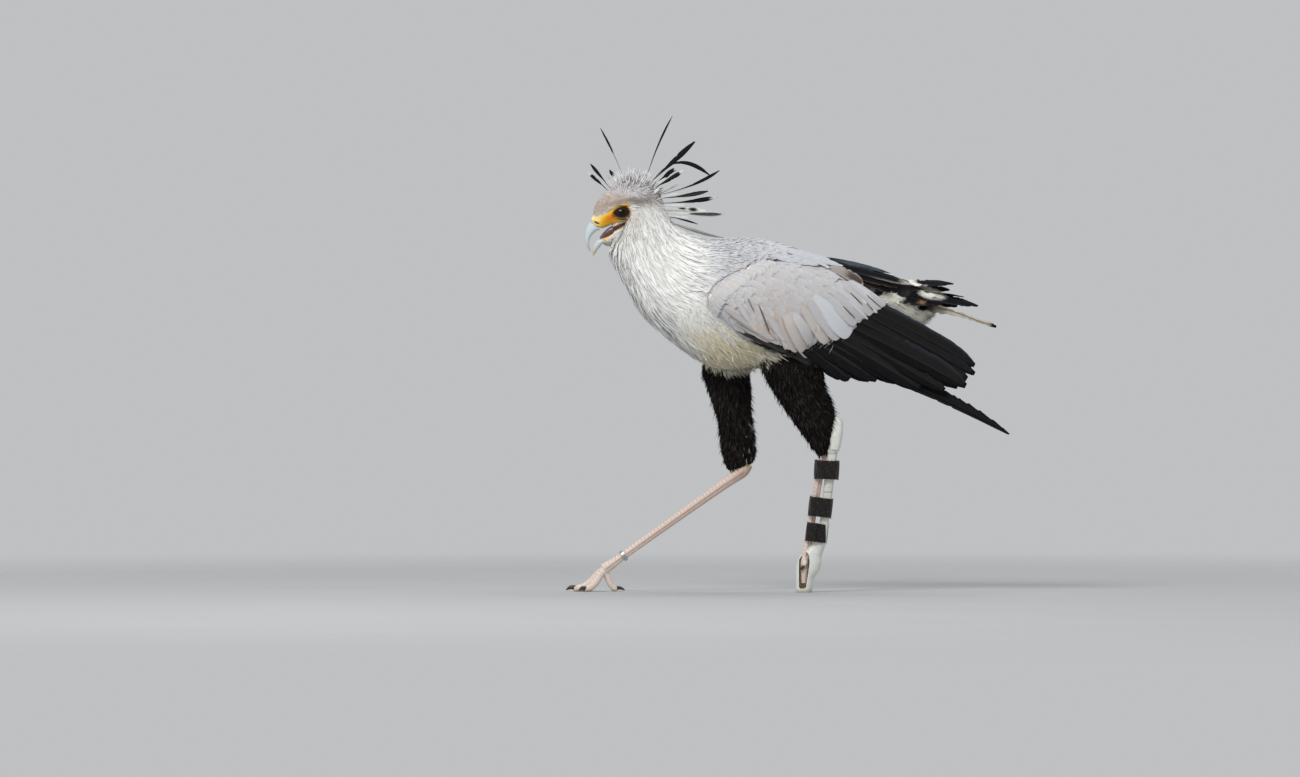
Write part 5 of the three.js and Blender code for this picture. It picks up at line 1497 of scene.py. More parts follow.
FRONT = ([240, 262, 276, 294, 312, 330, 352], [612, 613, 620, 630, 640, 658, 685])
for side, seed in ((-1, 21), (1, 22)):
    P, D, t, q = scatter(body, 8300, lambda p: neck_density(p) * (np.sign(p[:, 1]) == side), 0.22, 0.62, seed=seed)
    u, v, y = uvy(P)
    keep = (neck_density(P) > 0.5) & ~under_wing(u, v, y)
    P, D, t, q, u, v, y = P[keep], D[keep], t[keep], q[keep], u[keep], v[keep], y[keep]
    n = len(P)
    low = smooth(250, 330, v)
    L = 0.018 + 0.013 * rng.random(n) + 0.008 * low - 0.008 * smooth(650, 632, u) * smooth(240, 222, v)
    wid = 0.0012 + 0.0011 * rng.random(n)
    front = smooth(22, 6, (u - np.interp(v, *FRONT)))
    lift = np.array([0.0, 0.0014, 0.0026, 0.0034])[:, None] * (0.75 + 0.3 * rng.random(n) + 1.1 * front * rng.random(n))[None]
    D = unit(D + rng.normal(0, 0.05, D.shape) + 0.12 * clumps(P, 150, 1.0))
    L = short_of_wing(P, D, L)
    c = shade(markings(P, False), 0.04, seed)
    lock = wobble(P, 170, 5.0)
    c = blend_to(c, srgb(182, 184, 184), smooth(0.25, 0.9, -lock) * 0.22 + (rng.random(n) < 0.08) * 0.25)
    c = blend_to(c, srgb(250, 250, 248), smooth(0.2, 0.8, lock) * 0.6 * smooth(700, 670, u))
    feathers("coat_neck_%s" % ("l" if side < 0 else "r"), P, D, L, wid, *HAIR, lift, c, uv_of(t, q), M_SOFT, "plumage_white",
             stiff=0.25, cup=0.3, soft=0.82, paint=root_shade_paint(0.90, 1.03), bend=rng.normal(0, 0.04, n))
    # longer plumes in locks over them, white, standing a little free
    P, D, t, q = scatter(body, 1500, lambda p: neck_density(p) * (np.sign(p[:, 1]) == side) * (V_of(p[:, 2]) > 214), 0.22, 0.60, seed=seed + 5)
    u, v, y = uvy(P)
    keep = (neck_density(P) > 0.5) & ~under_wing(u, v, y) & (u < 712) & ~((u < 640) & (v < 236))
    P, D, t, q, u, v, y = P[keep], D[keep], t[keep], q[keep], u[keep], v[keep], y[keep]
    n = len(P)
    front = smooth(26, 4, (u - np.interp(v, *FRONT)))
    L = (0.030 + 0.020 * rng.random(n)) * (1 - 0.35 * smooth(660, 640, u) * smooth(246, 226, v))
    lift = np.array([0.0008, 0.0028, 0.0040, 0.0047, 0.0050])[:, None] * (0.75 + 0.3 * rng.random(n) + 1.2 * front * rng.random(n))[None]
    D = unit(D + rng.normal(0, 0.05, D.shape) + 0.22 * clumps(P, 130, 1.0) + np.stack([np.zeros(n), np.zeros(n), -0.12 * front], -1))
    L = short_of_wing(P, D, L)
    c = shade(markings(P, False), 0.03, seed + 9)
    c = blend_to(c, srgb(252, 252, 250), (rng.random(n) < 0.55) * 0.7 * smooth(712, 680, u))
    c = blend_to(c, srgb(184, 186, 188), (rng.random(n) < 0.12) * 0.5)
    feathers("coat_plumes_%s" % ("l" if side < 0 else "r"), P, D, L, 0.0018 + 0.0018 * rng.random(n), [0, 0.25, 0.5, 0.78, 1.0], [0.4, 0.9, 1.0, 0.7, 0.05], lift, c,
             uv_of(t, q), M_SOFT, "plumage_white", stiff=0.30, cup=0.3, soft=0.72, paint=root_shade_paint(0.92, 1.03), bend=rng.normal(0, 0.06, n))
    # free tips along the front of the throat and breast
    P, D, t, q = scatter(body, 420, lambda p: (inside(*uvy(p)[:2], [(596, 236), (620, 238), (640, 300), (700, 350), (690, 362), (620, 300)], 2) > 0.3) * (np.sign(p[:, 1]) == side) * (np.abs(p[:, 1]) < 0.034) + 1e-9, 0.22, 0.6, seed=seed + 8)
    u, v, y = uvy(P)
    keep = (y < 36) & (inside(u, v, [(596, 236), (620, 238), (640, 300), (700, 350), (690, 362), (620, 300)], 2) > 0.2)
    P, D, t, q = P[keep], D[keep], t[keep], q[keep]
    n = len(P)
    p0, n0 = on_skin(P)
    c = shade(markings(P, False), 0.04, seed + 11)
    free_strands("coat_throat_%s" % ("l" if side < 0 else "r"), p0 + n0 * 0.001, unit(D * 0.9 + n0 * (0.16 + 0.22 * rng.random(n))[:, None] + 0.2 * clumps(P, 130, 2.0) + rng.normal(0, 0.07, D.shape)),
                 0.012 + 0.011 * rng.random(n), 0.0014 + 0.0014 * rng.random(n), c, uv_of(t, q), M_SOFT, wide=[0.7, 1.0, 0.6, 0.05], paint=root_shade_paint(0.95, 1.03), soft=0.7)


# ---------------------------------------------------------------- large feathers, each a thin closed vane on its shaft
COLS = np.array([-1, -0.82, -0.6, -0.38, -0.16, -0.05, 0, 0.05, 0.16, 0.38, 0.6, 0.82, 1.0])


def bezier(a, b, c, t):
    t = t[:, None]
    return a * (1 - t) ** 2 + 2 * b * t * (1 - t) + c * t * t


def vane_mesh(root, bend, tip, width, face, profile, asym=0.5, rows=44, camber=0.10, thick=0.0007, shaft=0.0009, ragged=0.05,
              notches=3, serrate=None, seed=0, twist=0.0, sag=0.0):
    """A closed vane. profile: [[t, share], ...]; asym: share of the width on the first side of the shaft."""
    r = np.random.default_rng(seed)
    t = np.linspace(0, 1, rows) ** 0.97
    c = bezier(np.asarray(root), np.asarray(bend), np.asarray(tip), t)
    d = unit(np.gradient(c, axis=0))
    f = np.asarray(face, float)
    n = unit(f - d * (d @ f)[:, None])
    s = np.cross(d, n)
    if twist:
        a = (twist * t)[:, None]
        n, s = n * np.cos(a) + s * np.sin(a), s * np.cos(a) - n * np.sin(a)
    long_ = np.sum(np.linalg.norm(np.diff(c, axis=0), axis=1))
    w = np.interp(t, *np.array(profile).T) * width
    w = np.convolve(np.pad(w, 2, mode="edge"), np.ones(5) / 5, "valid")
    edges = []
    for k, share in ((-1, asym), (1, 1 - asym)):
        e = np.ones(rows) + ragged * (0.6 * np.sin(t * r.uniform(20, 34) + r.uniform(0, 6)) * 0.5 + 0.5 * r.normal(0, 1, rows)) * smooth(0.1, 0.6, t)
        for _ in range(r.poisson(notches)):
            at_, deep = r.uniform(0.3, 0.96), r.uniform(0.12, 0.4)
            e *= 1 - deep * np.exp(-((t - at_) * long_ / r.uniform(0.0016, 0.003)) ** 2)
        if serrate and serrate[0] in (0, k):
            ph = (t * long_ / serrate[1]) % 1
            e *= 1 - serrate[2] * (1 - ph) * smooth(serrate[3], serrate[3] + 0.1, t)
        edges.append(w * share * np.clip(e, 0.1, 1.15))
    x = np.where(COLS[None] < 0, COLS[None] * edges[0][:, None], COLS[None] * edges[1][:, None])
    relx = COLS[None] ** 2
    up = camber * w[:, None] * (1 - relx) + sag * w[:, None] * np.sin(COLS[None] * 2.5 + seed)
    # barbs gathered in low ridges, and the shaft standing proud
    ridge = 0.00010 * np.sin((t[:, None] * long_ + np.abs(x) * 0.8) / 0.0019 + seed)
    shaft_up = shaft * (1 - 0.75 * t[:, None]) * np.exp(-(COLS[None] / 0.05) ** 2)
    top = c[:, None] + s[:, None] * x[..., None] + n[:, None] * (up + ridge + shaft_up + thick / 2)[..., None]
    low = c[:, None] + s[:, None] * x[..., None] + n[:, None] * (up - shaft_up * 0.6 - thick / 2)[..., None]
    ring = np.concatenate([top, low[:, -2:0:-1]], 1)
    v, q, tr = capped(ring)
    # coordinates across and along the vane, for its map
    nc = ring.shape[1]
    S = np.concatenate([COLS, COLS[-2:0:-1]])
    T = np.repeat(t, nc)
    SS = np.tile(S, rows)
    T, SS = np.append(T, [0, 1]), np.append(SS, [0, 0])
    xx = np.abs(np.concatenate([x, x[:, -2:0:-1]], 1)).ravel()
    xx = np.append(xx, [0, 0])
    vane = np.stack([SS * 0.5 + 0.5, (T * long_ + xx * 0.9) / 0.02], -1)
    return v, q, tr, T, SS, vane


def vane_piece(name, items, colour, mat, replaces=()):
    """Several large feathers in one mesh, each with its own island in the map."""
    V, Q, TR, C, UV, VN, base = [], [], [], [], [], [], 0
    for i, spec in enumerate(items):
        v, q, tr, T, S, vane = vane_mesh(**spec["shape"])
        V.append(v)
        Q.append(q + base)
        TR.append(tr + base)
        C.append(colour(v, T, S, i, spec))
        UV.append(np.stack([(i + 0.06 + 0.88 * (S * 0.5 + 0.5)) / len(items), 0.02 + 0.96 * T], -1))
        VN.append(vane)
        base += len(v)
    o = build(name, np.concatenate(V), np.concatenate(Q), np.concatenate(TR), colours=np.concatenate(C), uv=np.concatenate(UV), vane=np.concatenate(VN), mat=mat)
    fix_winding(o)
    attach(o, "root")
    if replaces:
        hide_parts(*replaces)
    print("%-18s %7d vanes    %8d triangles" % (name, len(items), len(np.concatenate(Q)) * 2))
    return o


def table_at(rows, k):
    """Row k, a fraction allowed, of a table of nested numbers."""
    flat = np.array([np.concatenate([np.ravel(x) for x in r]) for r in rows], float)
    return np.array([np.interp(k, np.arange(len(flat)), flat[:, j]) for j in range(flat.shape[1])])


SECONDARIES = [
    [[782, 328], [848, 379.5], 25, -84, -72], [[796, 330], [884, 380.5], 24, -84, -66], [[812, 326], [920, 388.5], 23, -83, -61],
    [[824, 320], [957, 391.5], 22, -81, -56], [[838, 311], [967, 380.0], 20, -79, -52], [[848, 302], [976, 371.0], 17, -76, -49],
    [[856, 296], [960, 357.0], 14, -70, -47],
]
PRIMARIES = [
    [[812, 352], [900, 384.0], 14, -72, -50], [[816, 353], [940, 400.5], 15, -72, -42], [[822, 354], [975, 416.0], 15, -71, -35],
    [[828, 355], [1008.5, 434.3], 16, -70, -28],
]
SEC_PROFILE = [[0, 0.5], [0.12, 0.8], [0.4, 1], [0.75, 0.96], [0.9, 0.72], [0.97, 0.42], [1, 0.12]]
PRI_PROFILE = [[0, 0.5], [0.15, 0.9], [0.45, 1], [0.7, 0.8], [0.88, 0.48], [0.97, 0.22], [1, 0.06]]


def slate(v, T, S, i, spec):
    """Black-slate of the flight feathers, a touch paler along the shaft, with a painted bluish highlight along the
    leading edge and painted shade along the other edge.
    """
    base = srgb(14, 14, 17) * (1 + 0.25 * math.sin(i * 2.3))
    c = np.tile(base, (len(v), 1))
    # painted highlight: a bluish sheen along the leading edge
    c = blend_to(c, srgb(74, 80, 94), smooth(0.74, 0.97, S * spec.get("lead", 1)) * 0.62 * (0.7 + 0.3 * math.sin(i * 1.7)))
    # painted shade: a little darker along the other edge
    c = blend_to(c, srgb(12, 11, 13), smooth(0.3, 1.0, -S * spec.get("lead", 1)) * 0.6)
    c = blend_to(c, srgb(66, 62, 61), np.exp(-(S / 0.05) ** 2) * 0.4 * (1 - 0.6 * T))
    c = blend_to(c, srgb(48, 44, 43), smooth(0.1, 0.9, wobble(v, 160, i)) * 0.16)
    return c


for side, label in ((-1, "left"), (1, "right")):
    m = np.array([1, -side, 1.0])
    items = []
    count = 10
    for j in range(count):
        row = table_at(SECONDARIES, j * 6 / (count - 1))
        ru, rv, tu, tv, w, yr, yt = row
        k = j * 6 / (count - 1)
        jit = rng.normal(0, 1, 2) * [2.4, 0.7]
        root, tip = at(ru, rv, yr + 0.8 * k), at(tu + (jit[0] if 0 < j < count - 1 else 0), tv + jit[1] * 0.6, yt + 0.8 * k)
        d = np.linalg.norm(tip - root)
        bend = root + (tip - root) * 0.55 + np.array([0, -0.008, 0.02 * d])
        items.append({"lead": -1, "shape": dict(root=root * m, bend=bend * m, tip=tip * m, width=w * UNIT * (0.98 + 0.14 * math.sin(j * 2.6)), face=np.array([0.12, -1, 0.06]) * m, profile=SEC_PROFILE,
                      asym=0.62 if side < 0 else 0.38, rows=42, camber=0.05, ragged=0.03, notches=2, seed=100 + j, shaft=0.0007, sag=0.01)})
    vane_piece("secondary_vanes_" + label, items, slate, M_BLACK, ("secondaries_" + label,))
    items = []
    for j in range(6):
        k = j * 3 / 5
        ru, rv, tu, tv, w, yr, yt = table_at(PRIMARIES, k)
        root, tip = at(ru, rv, yr + 0.8 * k), at(tu, tv, yt + 0.8 * k)
        d = np.linalg.norm(tip - root)
        bend = root + (tip - root) * 0.55 + np.array([0, -0.008, 0.065 * d])
        items.append({"lead": 1, "shape": dict(root=root * m, bend=bend * m, tip=tip * m, width=w * UNIT * 0.94, face=np.array([0.12, -1, 0.06]) * m, profile=PRI_PROFILE,
                      asym=0.72 if side < 0 else 0.28, rows=72, camber=0.05, ragged=0.03, notches=2, seed=140 + j, shaft=0.0009,
                      serrate=((-1 if side < 0 else 1), 0.0062, 0.22, 0.45), sag=0.01)})
    vane_piece("primary_vanes_" + label, items, slate, M_BLACK, ("primaries_" + label,))

# long inner feathers over the back
TERTIALS = [
    [[814, 258.0], [852, 261.0], [894, 275.8], 28, -15, -15], [[822, 262.0], [862, 271.0], [910, 284.5], 30, -38, -26],
    [[814, 260.0], [850, 263.6], [884, 276.5], 26, -28, -24], [[824, 266.0], [858, 276.0], [897, 287.5], 24, -46, -36],
    [[836, 270.0], [862, 281.0], [890, 292.5], 22, -50, -40],
]


def tertial_paint(v, T, S, i, spec):
    c = slate(v, T, S, i, spec)
    u, vv = U_of(v[:, 0]), V_of(v[:, 2])
    # painted highlight: a broad slate-blue sheen over the first and third tertials
    c = blend_to(c, srgb(84, 92, 108), smooth(0.15, 0.5, T) * smooth(1.0, 0.75, T) * 0.6 * (i in (0, 2)))
    if i == 0:
        under = vv - (271.2 + (u - 867.6) * 0.11)
        c = blend_to(c, srgb(232, 232, 230), smooth(-0.3, 0.5, under) * smooth(2.6, 1.6, under) * smooth(866, 869, u) * 0.9)
    if i == 1:
        c = blend_to(c, srgb(226, 225, 222), smooth(0.78, 0.96, np.abs(S)) * smooth(0.5, 0.75, T) * 0.6)
        c = blend_to(c, srgb(218, 212, 200), smooth(0.86, 0.97, T + 0.05 * wobble(v, 300, 2)) * 0.7)
    if i in (3, 4):
        c = blend_to(c, srgb(28, 21, 19), 0.8)
        c = blend_to(c, srgb(176, 160, 148), smooth(0.90, 0.98, np.abs(S)) * smooth(0.4, 0.7, T) * 0.5)
    return c


for side, label in ((-1, "left"), (1, "right")):
    m = np.array([1, -side, 1.0])
    items = []
    for j, (r, b, t_, w, yr, yt) in enumerate(TERTIALS):
        items.append({"shape": dict(root=at(*r, yr) * m, bend=at(*b, (yr + yt) / 2) * m, tip=at(*t_, yt) * m, width=w / 1000, face=np.array([0.25, yr / 60, 1]) * m,
                      profile=[[0, 0.4], [0.2, 0.9], [0.5, 1], [0.8, 0.9], [0.94, 0.55], [1, 0.1]], rows=50, camber=0.12, ragged=0.06, notches=4, seed=170 + j, shaft=0.0006)})
    vane_piece("tertial_vanes_" + label, items, tertial_paint, M_DULL, ("tertials_" + label,))

# pale pointed shoulder feathers and the brown one behind the wing: root, bend, tip, width, Y of root and tip, kind
SCAPULARS = [
    [[788, 252], [814, 259], [842.5, 266.5], 24, -34, -40, "pale"], [[783, 257], [808, 261.5], [829, 268], 22, -53, -57, "pale"], [[790, 249.5], [812, 255.8], [836, 262.3], 24, -19, -23, "edge"],
    [[777, 258.5], [799, 261.5], [819, 265.8], 19, -67, -71, "edge"], [[829, 268.5], [849, 273.0], [861.5, 286], 27, -59, -55, "brown"], [[786, 248.6], [808, 254.2], [828.5, 258.8], 24, -5, -9, "pale"],
]


def scapular_paint(v, T, S, i, spec):
    kind = spec["kind"]
    c = np.tile(srgb(196, 199, 204), (len(v), 1))
    c = blend_to(c, srgb(214, 216, 219), smooth(0.0, 0.8, wobble(v, 130, i)) * 0.5)
    rim = np.maximum(smooth(0.80, 0.97, np.abs(S)) * smooth(0.3, 0.5, T), smooth(0.93, 0.98, T))
    if kind == "edge":
        c = blend_to(c, srgb(70, 72, 80), rim * 0.8)
    if kind == "pale":
        c = blend_to(c, srgb(232, 232, 232), rim * 0.7)
    if kind == "brown":
        c = blend_to(c, srgb(160, 152, 145), 0.9)
        c = blend_to(c, srgb(70, 54, 46), smooth(0.30, 0.6, T) * smooth(0.92, 0.45, np.abs(S)) * 0.9)
        c = blend_to(c, srgb(226, 218, 208), rim)
    return c


for side, label in ((-1, "left"), (1, "right")):
    m = np.array([1, -side, 1.0])
    items = []
    for j, (r, b, t_, w, yr, yt, kind) in enumerate(SCAPULARS):
        items.append({"kind": kind, "shape": dict(root=at(*r, yr) * m, bend=at(*b, (yr + yt) / 2) * m, tip=at(*t_, yt) * m, width=w / 1000, face=np.array([0.3, yr / 55, 1]) * m,
                      profile=[[0, 0.4], [0.2, 0.9], [0.5, 1], [0.8, 0.8 if kind != "brown" else 0.98], [0.94, 0.4 if kind != "brown" else 0.7], [1, 0.06]], rows=40, camber=0.12,
                      ragged=0.03, notches=1, seed=230 + j, shaft=0.0004)})
    vane_piece("scapular_vanes_" + label, items, scapular_paint, M_VANE)

# tail feathers: root, tip, width, Y of root and tip, lean of the face
TAIL = [
    [[872, 285], [953.5, 284.0], 30, -4, 2, -0.5], [[872, 288], [978.0, 306.0], 30, -6, 0, -0.8], [[886, 299], [996.0, 327.0], 24, -12, -10, -1.5],
    [[872, 287], [950.0, 290.0], 32, 6, 18, 0.6], [[880, 296], [958.0, 306.0], 32, 12, 30, 1.0], [[880, 297], [942.0, 304.0], 30, -18, -30, -1.1],
    [[876, 288], [964.0, 297.0], 24, 2, 8, 0.2], [[880, 292], [936.0, 296.0], 24, -12, -16, -0.9],
]


def tail_paint(v, T, S, i, spec):
    c = slate(v, T, S, i, spec)
    u, w = U_of(v[:, 0]), V_of(v[:, 2])
    uu, ww = u + 2.0 * wobble(v, 210, 3), w + 0.8 * wobble(v, 260, 5)
    white = srgb(232, 230, 220)
    m = spot(uu, ww, 905, 279, 11, 3.6, 0.3, 14) * 0.9
    m = np.maximum(m, spot(uu, ww, 922, 286.5, 20, 1.7, 0.4, 16))
    m = np.maximum(m, spot(uu, ww, 932, 294.5, 12.5, 4.6, 0.35, 10) * 0.92)
    m = np.maximum(m, spot(uu, ww, 892, 297, 11, 7, 0.35) * 0.9)
    m = np.maximum(m, smooth(0.22, 0.05, T) * 0.8)
    c = blend_to(c, white, m)
    c = blend_to(c, srgb(150, 122, 88), spot(uu, ww, 921.5, 302.5, 4, 1.8, 0.5) * 0.7)
    if i == 2:
        worn = srgb(222, 213, 194)
        c = blend_to(c, worn, smooth(0.35, 0.55, T) * smooth(0.97, 0.93, T) * (0.7 + 0.3 * wobble(v, 400, 2)))
        c = blend_to(c, srgb(84, 62, 42), smooth(0.35, 0.55, T) * smooth(0.42, 0.12, np.abs(S + 0.35 * np.sin(13 * T))) * 0.75)
        c = blend_to(c, srgb(18, 16, 16), smooth(0.94, 0.97, T))
    return c


items = []
for j, (r, t_, w, yr, yt, lean) in enumerate(TAIL):
    root, tip = at(*r, yr), at(*t_, yt)
    bend = (root + tip) / 2 + np.array([0, 0, 0.012 if j == 2 else 0.005 - j * 0.0002])
    prof = [[0, 0.5], [0.25, 0.85], [0.55, 1], [0.82, 0.85], [0.94, 0.5], [1, 0.1]]
    if j == 2:
        prof = [[0, 0.5], [0.3, 1], [0.5, 0.8], [0.62, 0.45], [0.9, 0.4], [0.96, 0.5], [1, 0.1]]
    items.append({"shape": dict(root=root, bend=bend, tip=tip, width=w / 1000, face=np.array([0.2, lean, 1]), profile=prof, rows=52, camber=0.10,
                  ragged=0.16 if j == 2 else 0.08, notches=9 if j == 2 else 5, seed=200 + j, shaft=0.0007)})
vane_piece("tail_vanes", items, tail_paint, M_DULL, ("tail",))


# ---------------------------------------------------------------- crest
CREST = [
    [[614, 193], [602, 178], [590.5, 164.2], 3.2, -5, -13], [[612, 195], [602, 184], [588.0, 172.5], 3.2, 6, 14], [[620, 186], [614, 177], [609.4, 169.5], 3.4, 9, 20],
    [[626, 184], [614, 152], [600.3, 128.2], 2.3, -3, -6], [[644, 186], [655, 147], [672.5, 115.8], 2.2, 3, 8], [[646, 187], [662, 172], [694.8, 142.0], 5.2, -8, -24],
    [[648, 188], [673, 144], [709.8, 175.0], 4.0, 8, 26], [[648, 190], [662, 180], [674.0, 167.8], 4.2, 14, 30], [[644, 193], [664, 184], [683.5, 170.8], 4.2, -14, -26],
    [[652, 196], [692, 189], [719.5, 170.0], 3.2, 12, 34], [[652, 199], [680, 198], [708.0, 191.8], 4.4, -16, -38], [[655, 203], [686, 203], [717.5, 196.5], 4.4, 18, 44],
    [[658, 208], [682, 208], [706.5, 211.8], 4.6, -20, -40], [[660, 210], [692, 215], [724.5, 213.5], 4.8, 20, 36], [[662, 215], [676, 217], [689.5, 218.2], 2.6, -20, -34],
    [[664, 218], [684, 231.5], [723.5, 238.0], 2.8, -12, -20],
]
# shorter plumes between them: root, bend, tip, width, Y of root and tip, kind
CREST_MORE = [
    [[640, 182], [642, 178], [644.5, 173.5], 2.2, 5, 9, "dark"], [[646, 184], [650, 178], [655, 171.5], 2.0, -6, -10, "pale"],
    [[652, 190], [659, 184], [666, 178], 3.0, -16, -22, "pale"], [[656, 196], [667, 190], [678, 184], 2.6, 16, 24, "pale"],
    [[656, 200], [668, 196], [680, 194], 3.0, -22, -30, "pale"], [[660, 206], [672, 205], [686, 206], 3.2, -24, -34, "pale"],
    [[662, 212], [676, 213], [690, 214], 2.6, -24, -34, "pale"], [[664, 216], [680, 218], [698, 224], 2.4, 10, 16, "dark"],
    [[662, 210], [680, 211], [696, 210], 2.8, 24, 32, "pale"], [[616, 188], [610, 180], [605, 172], 1.8, -8, -15, "pale"],
    [[670, 222], [690, 228], [710, 234], 2.6, 4, 8, "pale"], [[650, 188], [664, 176], [676, 170], 2.6, 4, 10, "dark"],
]
CLUB = [[0, 0.10], [0.25, 0.14], [0.45, 0.32], [0.62, 0.78], [0.78, 1.0], [0.9, 0.82], [0.97, 0.42], [1, 0.12]]
SLIM = [[0, 0.25], [0.3, 0.35], [0.55, 0.7], [0.75, 1.0], [0.9, 0.7], [1, 0.1]]
TIPS = {0: "plain", 1: "tipped", 2: "half", 3: "split", 4: "fine", 5: "plain", 6: "plain", 7: "plain", 8: "tipped", 9: "slim", 10: "plain", 11: "tipped", 12: "blots", 13: "rimmed", 14: "pale", 15: "grey"}


def crest_paint(v, T, S, i, spec):
    kind = spec["kind"]
    c = np.tile(srgb(21, 20, 23), (len(v), 1))
    c = blend_to(c, srgb(60, 60, 66), np.exp(-(S / 0.1) ** 2) * 0.45)
    white = srgb(226, 226, 222)
    ragged_t = T + 0.03 * wobble(v, 500, i)
    if kind in ("tipped", "plain", "slim", "fine"):
        c = blend_to(c, srgb(120, 120, 122), smooth(0.42, 0.12, ragged_t) * 0.75)
    if kind == "tipped":
        c = blend_to(c, white, smooth(0.88, 0.93, ragged_t))
    if kind == "half":
        c = blend_to(c, srgb(196, 196, 194), smooth(0.55, 0.4, ragged_t))
    if kind == "split":
        c = blend_to(c, srgb(172, 174, 176), smooth(0.55, 0.5, ragged_t) * 0.9)
    if kind == "blots":
        c = blend_to(c, white, 0.95)
        for a, b in ((0.50, 0.085), (0.72, 0.10)):
            c = blend_to(c, srgb(16, 16, 18), np.exp(-(((T - a) / b) ** 2 + (S / 0.9) ** 2) ** 2) * 1.1)
    if kind == "rimmed":
        c = blend_to(c, srgb(84, 86, 94), 0.9)
        c = blend_to(c, white, np.maximum(smooth(0.60, 0.85, np.abs(S)), smooth(0.93, 0.98, T)))
        c = blend_to(c, white, smooth(0.5, 0.35, ragged_t))
    if kind in ("pale", "grey"):
        c = blend_to(c, srgb(222, 222, 218), 0.92 if kind == "pale" else 0.25)
        c = blend_to(c, srgb(150, 152, 154), np.exp(-(S / 0.2) ** 2) * 0.4)
    if kind == "grey":
        c = blend_to(c, srgb(140, 142, 146), 0.45 * smooth(0.2, 0.7, wobble(v, 240, 4)))
    return c


items = []
for j, row in enumerate(CREST + CREST_MORE):
    r, b, t_, w, yr, yt = row[:6]
    kind = TIPS[j] if j < len(CREST) else row[6]
    slim = kind in ("fine", "split", "slim", "pale", "dark", "grey") and j != 9
    # as wide across the top as in the side view: the vane is turned a little to face out and up
    items.append({"kind": kind, "shape": dict(root=at(*r, yr), bend=at(*b, (yr + yt) / 2), tip=at(*t_, yt), width=w * UNIT * (1.0 if slim else 1.12),
                  face=np.array([0.1, -1 if yt < 0 else 1, 0.3]), profile=SLIM if slim else CLUB, rows=36 if j < 16 else 22, camber=0.10, ragged=0.03, notches=1,
                  seed=300 + j, shaft=0.0004, thick=0.0005, twist=0.25 * math.sin(j * 1.7))})
vane_piece("crest_plumes", items, crest_paint, M_BLACK, ("crest",))


# ---------------------------------------------------------------- wing coverts
def covert_angle(u, v):
    top = np.interp(u, [706, 720, 740, 763, 789, 812, 833, 853, 872], [292, 276, 268, 260, 258, 262, 271, 285, 301])
    low = np.interp(u, [706, 722, 742, 768, 797, 822, 847, 863, 878], [300, 323, 337, 349, 355, 349, 339, 323, 312])
    rel = np.clip((v - top) / np.maximum(low - top, 4), 0, 1)
    return 12 + 38 * rel * (1 - 0.25 * smooth(820, 875, u)) * (0.7 + 0.5 * smooth(730, 800, u)), rel


def covert_colours(P, seed):
    u, v, y = uvy(P)
    c = shade(np.tile(WING_GREY, (len(P), 1)), 0.018, seed)
    r = np.random.default_rng(seed + 1)
    k = len(P)
    c = blend_to(c, srgb(205, 197, 190), smooth(0.1, 0.9, wobble(P, 60, 2)) * 0.45 + (r.random(k) < 0.06) * 0.25)
    c = blend_to(c, srgb(186, 192, 202), smooth(0.2, 1.0, wobble(P, 60, 8)) * 0.4)
    c = blend_to(c, srgb(168, 168, 168), smooth(316, 338, v) * smooth(776, 740, u) * 0.5)
    c = blend_to(c, srgb(214, 217, 221), spot(u, v, 862, 318, 26, 18, 0.6) * 0.6)
    c = blend_to(c, srgb(220, 210, 200), spot(u, v, 800, 345, 26, 14, 0.6) * 0.4)
    c = blend_to(c, srgb(196, 178, 168), spot(u, v, 768, 320, 28, 28, 0.7) * (0.15 + 0.4 * (r.random(k) < 0.3)))
    low = np.interp(u, [706, 722, 742, 768, 797, 822, 847, 863, 878], [300, 323, 337, 349, 355, 349, 339, 323, 312])
    return blend_to(c, srgb(42, 40, 42), smooth(-9, -5, v - low) * smooth(738, 748, u) * smooth(816, 806, u) * 0.92)


# each covert a little darker towards its root, painted shade under the feathers that overlap it; paler fringes along
# its edges and tip, and a slightly darker shaft
def covert_paint(col, T, S):
    e = smooth(0.55, 1.0, np.abs(S)) * smooth(0.3, 0.8, T)
    t = smooth(0.86, 1.0, T)
    # painted shade towards the root
    c = col * (0.88 + 0.12 * smooth(0.0, 0.7, T))[..., None]
    rim = np.maximum(e, t)[..., None] * 0.5
    c = c * (1 - rim) + np.clip(col * 1.06, 0, 1) * rim
    return c * (1 - 0.05 * np.exp(-(S / 0.12) ** 2) * smooth(0.1, 0.4, T))[..., None]


# rows of large coverts whose tips lie on the flight feathers: root, tip, width in steps
GREATER = [
    [[768, 318], [786, 341], 9], [[772, 322], [790, 349], 8], [[778, 318], [796, 352], 10], [[784, 314], [810, 356], 17], [[792, 312], [817, 352], 12],
    [[800, 306], [826, 343], 12], [[806, 300], [838, 339], 14], [[812, 296], [848.5, 336.5], 18], [[822, 294], [855, 324.5], 11], [[828, 291], [861.5, 321.5], 10],
    [[834, 288], [867, 318.0], 10], [[839, 285], [872, 315.0], 10], [[843, 282], [877, 312.0], 9.5], [[847, 281], [881, 308.5], 9], [[850, 281], [884, 306.0], 7],
]
PRIMARY_COVERTS = [
    [[722, 306], [757, 327], 10, 0], [[728, 312], [766, 333], 10, 0], [[735, 318], [775, 338], 10, 0], [[742, 324], [781, 343], 9, 0], [[736, 322], [770, 341], 8, 0],
    [[736, 330], [776, 347], 7, 1], [[744, 332], [786, 351], 8, 1], [[750, 334], [794, 354], 9, 1], [[758, 338], [804, 359], 9, 1], [[764, 340], [812, 363], 9, 1],
    [[770, 342], [820, 366], 9, 1], [[778, 344], [830, 366], 9, 1], [[786, 345], [838, 362], 9, 1],
]
